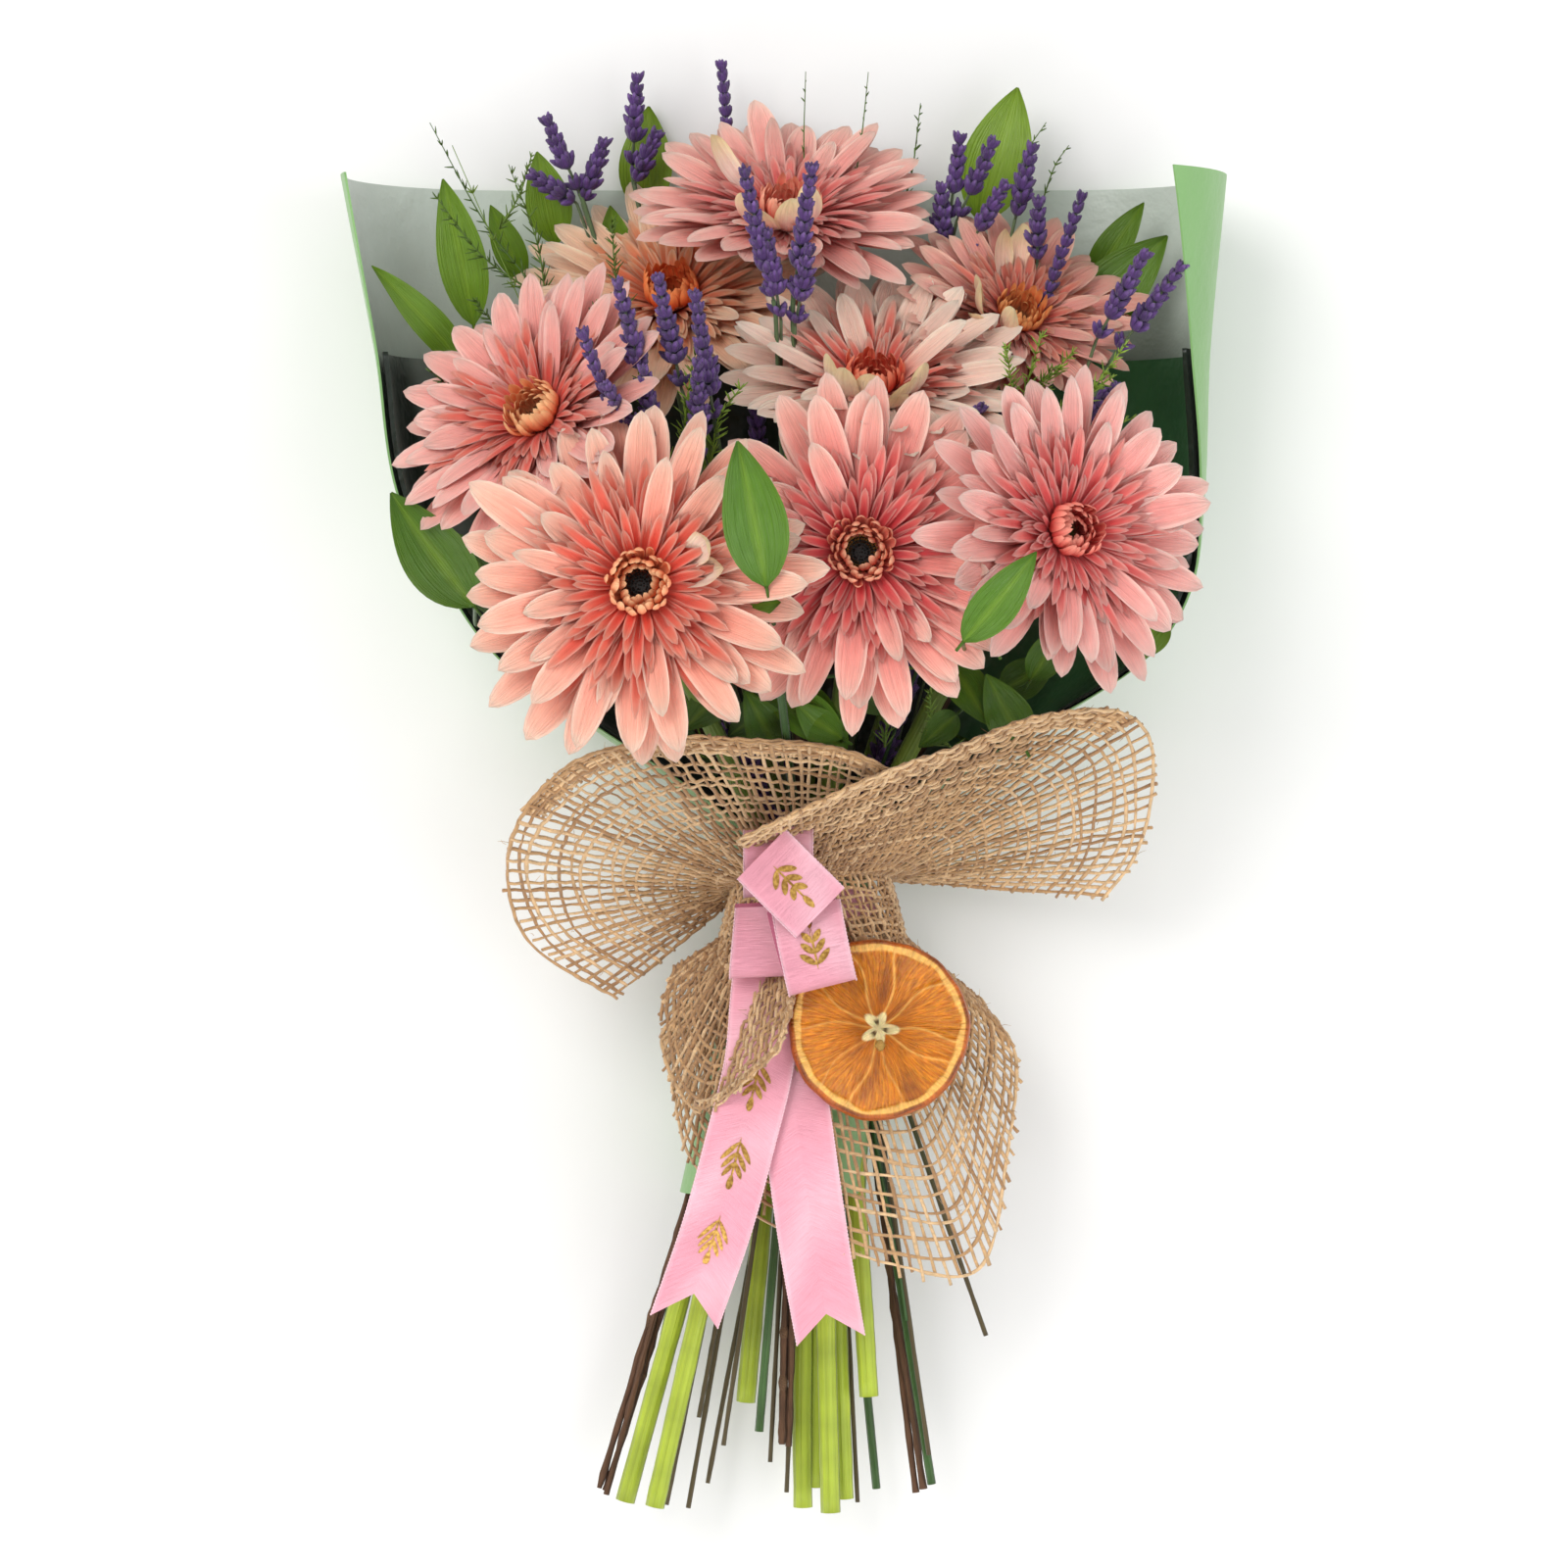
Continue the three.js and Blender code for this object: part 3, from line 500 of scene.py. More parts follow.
LOOKS = {
    "front_left": flower_look(
        [(255, 96, 76), (253, 160, 138), (254, 192, 168), (255, 226, 206)],
        [(255, 84, 62), (255, 138, 112)], [(252, 150, 104), (255, 196, 148)],
        (24, 16, 10), (140, 64, 32), 95, 1.05,
    ),
    "front": flower_look(
        [(240, 84, 82), (250, 148, 138), (252, 182, 166), (255, 222, 206)],
        [(236, 68, 74), (250, 124, 114)], [(240, 130, 112), (250, 188, 152)],
        (16, 12, 10), (150, 112, 40), 80, 1.1,
    ),
    "right": flower_look(
        [(246, 100, 96), (250, 158, 150), (252, 186, 176), (255, 220, 208)],
        [(244, 78, 78), (252, 140, 130)], [(222, 76, 70), (246, 152, 132)],
        (70, 78, 26), (150, 60, 50), 105, 0.85,
    ),
    "middle": flower_look(
        [(246, 118, 98), (252, 204, 184), (255, 222, 202), (255, 234, 214)],
        [(246, 96, 80), (254, 164, 142)], [(232, 86, 62), (248, 142, 108)],
        (120, 62, 30), (176, 88, 46), 100, 0.85,
    ),
    "left": flower_look(
        [(252, 108, 96), (253, 162, 152), (254, 186, 174), (255, 214, 202)],
        [(255, 88, 70), (255, 142, 120)], [(252, 152, 98), (255, 198, 142)],
        (36, 28, 16), (110, 66, 30), 95, 1.0,
    ),
    "top": flower_look(
        [(242, 104, 102), (250, 160, 150), (253, 188, 174), (255, 216, 200)],
        [(242, 100, 96), (250, 150, 138)], [(244, 128, 108), (252, 178, 148)],
        (150, 60, 50), (196, 96, 70), 90, 0.9,
    ),
    "top_left": flower_look(
        [(250, 142, 92), (252, 194, 156), (254, 212, 178), (255, 228, 200)],
        [(252, 126, 78), (254, 178, 128)], [(242, 108, 52), (252, 150, 86)],
        (70, 34, 20), (150, 66, 30), 95, 0.95,
    ),
    "back_right": flower_look(
        [(232, 108, 96), (238, 150, 138), (244, 176, 158), (250, 204, 180)],
        [(232, 100, 84), (242, 144, 118)], [(226, 120, 64), (244, 170, 104)],
        (110, 60, 30), (150, 86, 40), 80, 0.75,
    ),
}


def ring_of(builder, place, radius, count, start_r, start_z, length, width, rise, curl, look, shape,
            dish=0.12, jitter=1.0, nu=9, nv=12, groove=0.0, slot=0, shift=0.0, lean=None):
    """One row of petals round the flower's axis. look is (base, body, tip, edge)."""
    for k in range(count):
        phi = 2 * math.pi * (k + shift + jitter * rng.uniform(-0.22, 0.22)) / count
        size = length * (1 + jitter * rng.normal(0, 0.05))
        extra = lean(phi) if lean else 0.0
        points, u, v = blade(
            size, width * (1 + jitter * rng.normal(0, 0.07)),
            rise + extra + jitter * rng.normal(0, 3.0), curl + jitter * rng.normal(0, 5.0), dish, shape,
            nu, nv, groove, twist=jitter * rng.normal(0, 7.0),
        )
        bend = jitter * rng.normal(0, 0.0012 / 0.05) * points[:, 0]
        points[:, 1] += bend * points[:, 0] / max(radius, 1e-6)
        points[:, 0] += start_r
        points[:, 2] += start_z
        points = spun(points, phi)
        colours = petal_colours(u, v, *look, tone=1 + jitter * rng.normal(0, 0.03))
        uvs = np.stack([(u + 1) / 2 + rng.uniform(0, 9), v + rng.uniform(0, 9)], axis=1)
        builder.add(points @ place[0].T + place[1], [grid_faces(nv, nu)], colours, uvs, slot)


# Rows of rays: how many, where they start and how high in millimetres, length and width as shares of
# the radius, rise over the cup's and curl in degrees, groove in millimetres, shift and jitter.
RAY_ROWS = (
    (22, 0.12, -2.5, 0.90, 0.210, -2, -7, 0.22, 0.0, 1.0),
    (20, 0.11, -1.0, 0.85, 0.200, 5, -9, 0.30, 0.5, 1.0),
    (12, 0.10, 0.5, 0.70, 0.150, 12, -10, 0.25, 0.3, 1.6),
)
# Mid and inner rows: share of the radius, width over radius, rise in degrees and how many.
MID_ROWS = (
    (0.60, 0.074, 14, 30), (0.54, 0.072, 18, 34), (0.47, 0.068, 23, 34), (0.39, 0.062, 29, 32),
    (0.32, 0.056, 36, 30),
)
INNER_ROWS = ((0.26, 0.060, 34, 24), (0.21, 0.056, 44, 20), (0.165, 0.050, 56, 16))
# Where a few small petals curl up in the middle of a flower: direction in degrees and how many.
CURLED = {
    "middle": ((-95, 6),),
    "top": ((-100, 4), (150, 1)),
    "back_right": ((-150, 4), (100, 2)),
    "front_left": ((10, 2),),
}
FACE_HEIGHT = 11.4  # from the stem's end to the face of the flower, in millimetres


def head_shape(name):
    """Where a flower's face is, its radius, and how far its rays rise from flat, in degrees."""
    line, _ = stations(f"gerbera_{name}_stem", WIDE_RING_GAP)
    axis = unit(line[-1] - line[-2])
    neck = line[-1]
    head, _ = node_mesh(f"gerbera_{name}_head")
    away = head - neck
    high = away @ axis
    out = np.linalg.norm(away - np.outer(high, axis), axis=1)
    reach = out.max()
    rise_of_tips = high[out > reach * 0.97].mean() - FACE_HEIGHT * MM
    place = (frame_to(axis, (1, 0.1, 0)), neck + axis * FACE_HEIGHT * MM)
    return place, math.hypot(reach, rise_of_tips), math.degrees(math.atan2(rise_of_tips, reach))


def ray_rows(b, place, radius, cup, rays):
    seed = rng.uniform(0, 6)

    def lean(phi):
        return 4.0 * math.sin(2 * phi + seed) + 2.5 * math.sin(3 * phi - seed)

    for count, start, height, length, width, rise, curl, groove, shift, jitter in RAY_ROWS:
        ring_of(b, place, count=count, start_r=radius * start, start_z=height * MM, length=radius * length,
                width=radius * width, rise=cup + rise, curl=curl, look=rays, shape=RAY, groove=groove * MM,
                shift=shift, jitter=jitter, radius=radius, lean=lean)


def floret_rows(b, place, radius, cup, look):
    mid, mid_tip = look["mids"]
    inner, inner_tip = look["inners"]
    mids = (mid, mid, mid_tip, (look["rays"][3] + mid_tip) / 2)
    inners = (inner * 0.6, inner, inner_tip, inner_tip)
    for share, width, rise, count in MID_ROWS:
        ring_of(b, place, count=count, start_r=radius * 0.10, start_z=(0.8 + share) * MM, nu=5, nv=8,
                length=radius * share * (0.85 + 0.15 * look["spread"]), width=radius * width,
                rise=rise + cup * 0.5, curl=-18, look=mids, shape=STRAP, dish=0.35, jitter=1.6,
                shift=rng.uniform(), radius=radius)
    for share, width, rise, count in INNER_ROWS:
        ring_of(b, place, count=count, start_r=radius * 0.095, start_z=1.2 * MM, nu=5, nv=9,
                length=radius * share, width=radius * width, rise=rise, curl=look["curl"], look=inners,
                shape=STRAP, dish=0.6, jitter=1.5, shift=rng.uniform(), slot=1, radius=radius)


def gerbera_head(name):
    """One flower: rows of ray petals, short mid florets, curled inner florets, the eye and the cup."""
    look = LOOKS[name]
    place, radius, cup = head_shape(name)
    b = Builder()
    ray_rows(b, place, radius, cup, look["rays"])
    floret_rows(b, place, radius, cup, look)
    for phi, count in CURLED.get(name, ()):
        curled_petals(b, place, radius, look["rays"], math.radians(phi), count)
    eye_of(b, place, radius, look)
    back_of(b, place, cup)
    return b.build(f"gerbera_{name}_flower", [PETAL, FLORET])


def curled_petals(b, place, radius, rays, middle, count):
    cream = srgb(250, 222, 172)
    for k in range(count):
        phi = middle + 0.34 * (k - (count - 1) / 2) + rng.normal(0, 0.06)
        points, u, v = blade(
            radius * rng.uniform(0.42, 0.56), radius * 0.19, rng.uniform(18, 40), rng.uniform(40, 85),
            0.45, RAY, twist=rng.normal(0, 25),
        )
        points[:, 0] += radius * 0.22
        points[:, 2] += 4 * MM
        points = spun(points, phi)
        colours = petal_colours(u, v, rays[2], rays[3], cream, cream, 1 + rng.normal(0, 0.03))
        uvs = np.stack([(u + 1) / 2 + rng.uniform(0, 9), v], axis=1)
        b.add(points @ place[0].T + place[1], [grid_faces(12, 9)], colours, uvs)


def eye_of(b, place, radius, look):
    """The closed florets in the middle: small buds on a low dome, darkest in the centre."""
    eye_r = radius * 0.125
    rings = 7
    for k in range(rings):
        r = eye_r * (k + 0.3) / rings
        count = max(1, int(round(2 * math.pi * r / (0.95 * MM))))
        for j in range(count):
            phi = 2 * math.pi * (j + 0.5 * (k % 2)) / count + rng.normal(0, 0.05)
            height = (1.8 + 1.6 * (k / rings) ** 2) * MM
            foot = np.array([r * math.cos(phi), r * math.sin(phi), 0.0])
            tip = foot * 1.04 + np.array([0, 0, height + 0.2 * MM * rng.normal()])
            colour = lerp(look["eye"], look["ring"], smooth((k - 2.2) / 3.2)) * (1 + 0.15 * rng.normal())
            path = np.stack([foot, lerp(foot, tip, 0.6), tip])
            path = path @ place[0].T + place[1]
            tube(b, path, np.array([0.42, 0.55, 0.15]) * MM, 5, np.clip(colour, 0, 1), slot=1)
    # The low dome under the buds, in painted shade: the eye's colour at 0.7.
    disc = full_turn(24)
    rim = np.stack([np.cos(disc) * eye_r * 1.15, np.sin(disc) * eye_r * 1.15, 0 * disc + 0.6 * MM], axis=1)
    points = np.vstack([rim, [[0, 0, 1.6 * MM]]]) @ place[0].T + place[1]
    b.add(points, [disc_faces(24)], look["eye"] * 0.7, slot=1)


# The cup's profile as radius and height, and its rows of bracts as start, length and rise, in
# millimetres and degrees.
CUP_PROFILE = ((2.6, -11.3), (4.4, -10.2), (6.6, -7.5), (8.2, -4.8), (9.4, -3.0), (7.0, -2.2))
BRACT_ROWS = ((-9.5, 10, 42), (-7.0, 12, 24), (-4.6, 13, 12))
BRACTS = 15


def back_of(b, place, cup):
    """The green cup behind the petals: a smooth receptacle with rows of narrow bracts."""
    green, dark = srgb(122, 150, 62), srgb(82, 112, 44)
    a = full_turn(24)
    rings = [
        np.stack([r * MM * np.cos(a), r * MM * np.sin(a), 0 * a + z * MM], axis=1) for r, z in CUP_PROFILE
    ]
    points = np.vstack(rings) @ place[0].T + place[1]
    b.add(points, [grid_faces(len(rings), 24, around=True)], lerp(dark, green, 0.5), slot=1)
    for row, (start_z, length, rise) in enumerate(BRACT_ROWS):
        for k in range(BRACTS):
            phi = 2 * math.pi * (k + 0.5 * row + rng.uniform(-0.1, 0.1)) / BRACTS
            bract, _, v = blade(length * MM, 3.0 * MM, rise + cup * 0.5, -6, -0.3, (0.8, 0.3, 1.4), 5, 6)
            bract[:, 0] += (4.6 + row * 1.3) * MM
            bract[:, 2] += start_z * MM
            bract = spun(bract, phi) @ place[0].T + place[1]
            b.add(bract, [grid_faces(6, 5)], lerp(green, dark, v[:, None]), slot=1)


GERBERA_NAMES = list(LOOKS)
for flower in GERBERA_NAMES:
    add(gerbera_head(flower), "petals", f"gerbera_{flower}_head")

# ---------------------------------------------------------------- stems and twigs

# part.mjs counts millimetres from a place of its own; the tie's middle is at TIE_MM there.
TIE_MM = np.array([10.0, -38.0, 36.0])


def at(points):
    """Places in part.mjs's own millimetres as metres in the frame."""
    return (np.asarray(points, float) - TIE_MM) * MM + TIE


def stem_tube(b, line, radius, low, high, sides=10, wobble=0.03):
    """A round stem with a small wobble in thickness, coloured from its cut end to its top."""
    count = len(line)
    t = np.linspace(0, 1, count)
    radii = radius * (1 + wobble * rng.normal(0, 1, count))
    colours = lerp(low, high, smooth(t * 1.4 - 0.2)[:, None]) * (1 + 0.07 * rng.normal(0, 1, (count, 1)))
    tube(b, line, radii, sides, np.clip(colours, 0, 1))


def cut_face(b, line, radius, colour):
    """The pale pith that shows at the cut end."""
    away = unit(line[0] - line[1])
    a = full_turn(12)
    disc = np.stack([np.cos(a), np.sin(a), 0 * a], axis=1) * radius * 0.82
    points = np.vstack([disc, [[0, 0, 0]]]) @ frame_to(away).T + line[0] + away * 0.12 * MM
    b.add(points, [disc_faces(12)], colour)


def gerbera_stalk(name):
    node = f"gerbera_{name}_stem"
    line, radius = stalk(node, WIDE_RING_GAP)
    line = spline(line, 60)
    b = Builder()
    stem_tube(b, line, radius, srgb(166, 184, 50), srgb(104, 132, 46), sides=14, wobble=0.02)
    cut_face(b, line, radius, srgb(206, 214, 138))
    add(b.build(f"gerbera_{name}_stalk", [FLESHY_STEM]), "flower_stems", node)


def twig_bundle(k, strands=3, points=70):
    """Strands of bark wound loosely round each other, each with a few knots."""
    line, radius = stalk(f"dry_twig_{k}")
    b = Builder()
    centre = spline(line, points)
    run = np.linspace(0, 1, points)
    for turn in range(strands):
        phase = 2 * math.pi * turn / strands + k
        sway = np.stack([np.cos(phase + 5 * run), 0 * run, np.sin(phase + 5 * run)], axis=1)
        strand = centre + sway * radius * 0.8
        strand[:, 1] += rng.uniform(-1, 1) * 4 * MM * (1 - run)
        stem_tube(b, strand, radius * 0.62, srgb(104, 72, 50), srgb(82, 58, 42), sides=7, wobble=0.14)
        for knot in rng.integers(4, 60, 4):
            tube(b, strand[knot : knot + 3], np.array([0.5, 0.9, 0.4]) * radius, 7, srgb(120, 88, 62))
    add(b.build(f"twig_bundle_{k}", [WOODY]), "bark", f"dry_twig_{k}")


for flower in GERBERA_NAMES:
    gerbera_stalk(flower)
for k in (1, 2, 3):
    twig_bundle(k)

# ---------------------------------------------------------------- lavender

VIOLET, DEEP_VIOLET, LILAC = srgb(82, 52, 112), srgb(46, 28, 66), srgb(132, 100, 164)
LAVENDER_STALK = srgb(96, 112, 74)


def bud(b, foot, towards, length, fat):
    """One calyx: a small teardrop."""
    tone = 1 + 0.16 * rng.normal()
    path = foot + np.outer([0, 0.32, 0.72, 1.0], towards) * length
    colours = np.stack([DEEP_VIOLET, VIOLET, VIOLET, lerp(VIOLET, LILAC, rng.uniform(0.1, 0.9))]) * tone
    tube(b, path, fat * np.array([0.45, 1.0, 0.86, 0.25]), 6, np.clip(colours, 0, 1))


WHORL_PITCH = 4.3 * MM


def spike(b, foot, tip):
    """A flower spike: whorls of buds round a thin stalk, with a gap above the lowest whorl."""
    axis = tip - foot
    length = np.linalg.norm(axis)
    place = frame_to(axis)
    inside = tip - unit(axis) * 2 * MM
    tube(b, np.stack([foot, lerp(foot, tip, 0.5), inside]), 0.55 * MM, 6, LAVENDER_STALK)
    whorls = max(4, int(round(length / WHORL_PITCH)))
    for w in range(whorls):
        share = (w + 0.35) / whorls
        if w == 1 and whorls > 6:
            continue
        size = (1.0 - 0.42 * share) * (0.78 if w == 0 else 1)
        middle = foot + axis * share
        count = 8 if w else 6
        for j in range(count):
            phi = 2 * math.pi * (j + 0.5 * (w % 2) + rng.uniform(-0.2, 0.2)) / count
            spread = math.radians(rng.uniform(26, 50) * (1 - 0.35 * share))
            towards = place @ off_axis(phi, spread)
            bud(b, middle, towards, (7.8 * size + rng.normal(0, 0.5)) * MM, 1.75 * size * MM)
    for _ in range(3):
        local = np.array([rng.normal(0, 0.16), rng.normal(0, 0.16), 1])
        bud(b, tip - unit(axis) * 4 * MM, place @ unit(local), 4.4 * MM, 0.85 * MM)


# Spikes beside the ten that the CAD stands for, by the sprig whose stalk they share: tip and foot.
SIDE_SPIKES = {
    1: [((-47, 240, 20), (-55, 222, 16))],
    3: [((-66, 236, 30), (-74, 214, 26)), ((-92, 224, 32), (-76, 214, 27))],
    4: [((-6, 196, 114), (-1, 166, 100))],
    5: [((9, 190, 114), (4, 164, 98))],
    6: [((-58, 176, 146), (-48, 138, 124)), ((-49, 146, 142), (-44, 114, 120)),
        ((-62, 140, 146), (-46, 112, 120))],
    7: [((-44, 178, 142), (-36, 140, 122)), ((-30, 148, 140), (-30, 114, 118)),
        ((-52, 128, 140), (-40, 104, 118))],
    8: [((76, 234, 54), (63, 206, 46)), ((57, 218, 52), (58, 192, 44)), ((80, 218, 58), (66, 194, 48))],
    9: [((90, 232, 58), (84, 206, 50)), ((92, 212, 60), (92, 190, 52))],
    10: [((129, 190, 94), (112, 160, 80)), ((118, 142, 98), (104, 128, 84)),
         ((70, 134, 112), (56, 122, 100))],
}


def lavender_sprig(k):
    node = f"lavender_{k}"
    line, thin, first = stalk_below_head(node)
    b = Builder()
    stem = spline(line[: first + 1], 56)
    stem_tube(b, stem, thin * 0.8, srgb(88, 76, 50), srgb(84, 104, 66), sides=8, wobble=0.06)
    spike(b, line[first], line[-1])
    for tip, foot in SIDE_SPIKES.get(k, ()):
        tip, foot = at(tip), at(foot)
        joint = stem[int(len(stem) * 0.86)]
        arm = spline([joint, lerp(joint, foot, 0.55) + [0, 0, -2 * MM], foot], 12)
        stem_tube(b, arm, 0.6 * MM, LAVENDER_STALK, LAVENDER_STALK, sides=6)
        spike(b, foot, tip)
    add(b.build(f"lavender_sprig_{k}", [BUD]), "lavender", node)


for k in range(1, 11):
    lavender_sprig(k)

# ---------------------------------------------------------------- ruscus leaves and stems

LEAF_DARK, LEAF_MID, LEAF_LIGHT = srgb(30, 62, 10), srgb(78, 120, 18), srgb(140, 172, 36)


def leaf(b, base, tip, width, up, tone, bow):
    """A pointed blade with a sunken midrib, from base to tip, its upper face towards `up`."""
    nu, nv = 9, 18
    u = np.linspace(-1, 1, nu)
    v = 1 - (1 - np.linspace(0, 1, nv)) ** 1.15
    length = np.linalg.norm(tip - base)
    half = width / 2 * np.sin(math.pi * np.clip(v, 0, 1) ** 0.86) ** 0.78 * (1 - 0.18 * v)
    half = np.maximum(half, width * 0.018)
    x = v * length
    arch = bow * length * 4 * v * (1 - v)
    ripple = 0.35 * MM * np.sin(v * 11 + tone * 9)
    points = np.zeros((nv, nu, 3))
    points[:, :, 0] = x[:, None]
    points[:, :, 1] = half[:, None] * u[None, :]
    cupped = 0.22 * half[:, None] * np.abs(u[None, :]) ** 1.6
    points[:, :, 2] = arch[:, None] + cupped + ripple[:, None] * u[None, :] ** 2
    along = unit(tip - base)
    side = unit(np.cross(up, along))
    place = np.stack([along, side, np.cross(along, side)], axis=1)
    uu, vv = np.meshgrid(u, v)
    rib = np.exp(-((uu / 0.09) ** 2))
    veins = 0.5 + 0.5 * np.cos(uu * 22 - vv * 2.0)
    body = lerp(LEAF_DARK, LEAF_MID, tone) if tone <= 1 else lerp(LEAF_MID, LEAF_LIGHT, tone - 1)
    pale = lerp(body, LEAF_LIGHT, 0.5)
    colour = lerp(body, pale, (0.55 * rib + 0.10 * veins + 0.18 * np.abs(uu) ** 6)[..., None].clip(0, 1))
    uvs = np.stack([(uu.ravel() + 1) / 2, vv.ravel() + tone], axis=1)
    world = points.reshape(-1, 3) @ place.T + base
    b.add(world, [grid_faces(nv, nu)], colour.reshape(-1, 3), uvs)
    tube(b, np.stack([base - along * 4 * MM, base]), 0.6 * MM, 6, body)


RUSCUS_STEMS = {k: stalk(f"ruscus_stem_{k}") for k in (1, 2, 3, 4)}
BRANCHES = np.vstack([spline(line, 60) for line, _ in RUSCUS_STEMS.values()])


def branch_to(b, base):
    """A thin side branch from a ruscus stem that comes up to a leaf's base between the flowers."""
    below = base - [0, 6 * MM, min(45 * MM, 0.5 * base[2])]
    joint = BRANCHES[np.argmin(np.linalg.norm(BRANCHES - below, axis=1))]
    route = spline([joint, lerp(joint, below, 0.6), below, base], 20)
    route[:, 2] = np.maximum(route[:, 2], 2 * MM)
    tube(b, route, 0.75 * MM, 6, lerp(LEAF_DARK, LEAF_MID, 0.5))


# How light each of the CAD's leaves is: 0 dark, 1 middling, 2 light.
LEAF_TONES = (0.9, 1.0, 0.7, 1.3, 1.2, 1.5, 1.7, 1.6, 1.1, 0.35, 0.9, 0.8)

# Leaves that fill the gaps between the flowers: tip, base, width and tone. The tone is partly the leaves'
# own varied green and partly painted shade: leaves low between the flowers are darker.
FILLERS = [
    ((-103, 111, 96), (-100, 84, 88), 9, 0.5), ((-1, 64, 156), (-19, 62, 150), 13, 1.1),
    ((66, 66, 152), (74, 48, 146), 12, 0.9), ((122, 44, 108), (136, 60, 100), 14, 1.3),
    ((141, 76, 92), (118, 84, 84), 13, 0.5), ((22, 20, 100), (-2, 36, 92), 16, 0.8),
    ((-14, 34, 104), (-2, 12, 90), 17, 0.6), ((73, 22, 96), (60, 44, 88), 16, 0.7),
    ((48, 14, 100), (62, 26, 92), 12, 0.6), ((101, 58, 98), (88, 38, 90), 14, 0.6),
    ((-36, 20, 96), (-20, 36, 90), 15, 0.5), ((4, 30, 106), (22, 12, 96), 15, 0.9),
    ((-20, 18, 76), (2, 34, 84), 16, 0.35), ((40, 26, 78), (22, 40, 86), 15, 0.3),
    ((128, 128, 60), (108, 96, 50), 20, 0.2), ((98, 46, 80), (78, 34, 70), 16, 0.4),
    ((-120, 92, 72), (-96, 60, 62), 20, 0.15), ((-64, 214, 18), (-60, 186, 16), 14, 1.4),
    ((132, 214, 30), (112, 184, 24), 14, 1.2), ((-108, 214, 20), (-96, 186, 16), 13, 1.3),
]


def cad_leaf(k, tone):
    """The blade that stands for one of the CAD's leaves; returns where its base is."""
    node = f"leaf_{k:02d}"
    points, _ = node_mesh(node)
    middle, axes, normal = principal(points)
    run = (points - middle) @ axes[0]
    ends = points[np.argmax(run)], points[np.argmin(run)]
    base, tip = sorted(ends, key=lambda p: np.linalg.norm(p - TIE))
    wide = np.ptp((points - middle) @ axes[1])
    b = Builder()
    leaf(b, base, tip, wide * 1.04, normal, tone, bow=0.05)
    add(b.build(f"ruscus_{node}", [LEAF]), "leaves", node)
    return base


def small_leaves(leaf_bases):
    """The leaves that fill the gaps, and the branches that carry the CAD's leaves."""
    b = Builder()
    for tip, base, width, tone in FILLERS:
        up = unit([rng.normal(0, 0.15), rng.normal(0, 0.15), 1])
        leaf(b, at(base), at(tip), width * MM, up, tone, bow=rng.uniform(0.02, 0.10))
    for base in leaf_bases:
        branch_to(b, base)
    add(b.build("small_leaves", [LEAF]), "leaves")


small_leaves([cad_leaf(k, tone) for k, tone in enumerate(LEAF_TONES, 1)])

for k, (line, radius) in RUSCUS_STEMS.items():
    line = spline(line, 60)
    b = Builder()
    stem_tube(b, line, radius, srgb(56, 92, 34), srgb(50, 84, 32), sides=9)
    cut_face(b, line, radius, srgb(150, 168, 104))
    add(b.build(f"ruscus_stalk_{k}", [FLESHY_STEM]), "ruscus_stems", f"ruscus_stem_{k}")

# ---------------------------------------------------------------- asparagus fern

FERN_DARK, FERN_LIGHT = srgb(44, 78, 28), srgb(150, 182, 60)


def frond(b, foot, tip, light, needles, reach):
    """A thin wiry stem with fine needles on all sides, up to `reach` millimetres long."""
    bend = lerp(foot, tip, 0.5) + rng.normal(0, 2.5, 3) * MM
    line = spline([foot, bend, tip], 18)
    # Partly painted shade: fronds that lie low in the bunch are given darker greens.
    colour = lerp(FERN_DARK, FERN_LIGHT, light)
    tube(b, line, np.linspace(0.42, 0.16, 18) * MM, 5, colour)
    place = frame_to(tip - foot)
    for n in range(needles):
        share = (n + rng.uniform(0, 1)) / needles
        start = line[min(int(share * 17), 17)]
        phi = rng.uniform(0, 2 * math.pi)
        out = place @ off_axis(phi, math.radians(rng.uniform(28, 58)))
        size = reach * (1 - 0.6 * share) * rng.uniform(0.6, 1.15) * MM
        end = start + out * size + np.array([0, 0, -0.12 * size])
        tube(b, np.stack([start, lerp(start, end, 0.6), end]), np.array([0.36, 0.32, 0.12]) * MM, 3,
             colour * rng.uniform(0.75, 1.3))
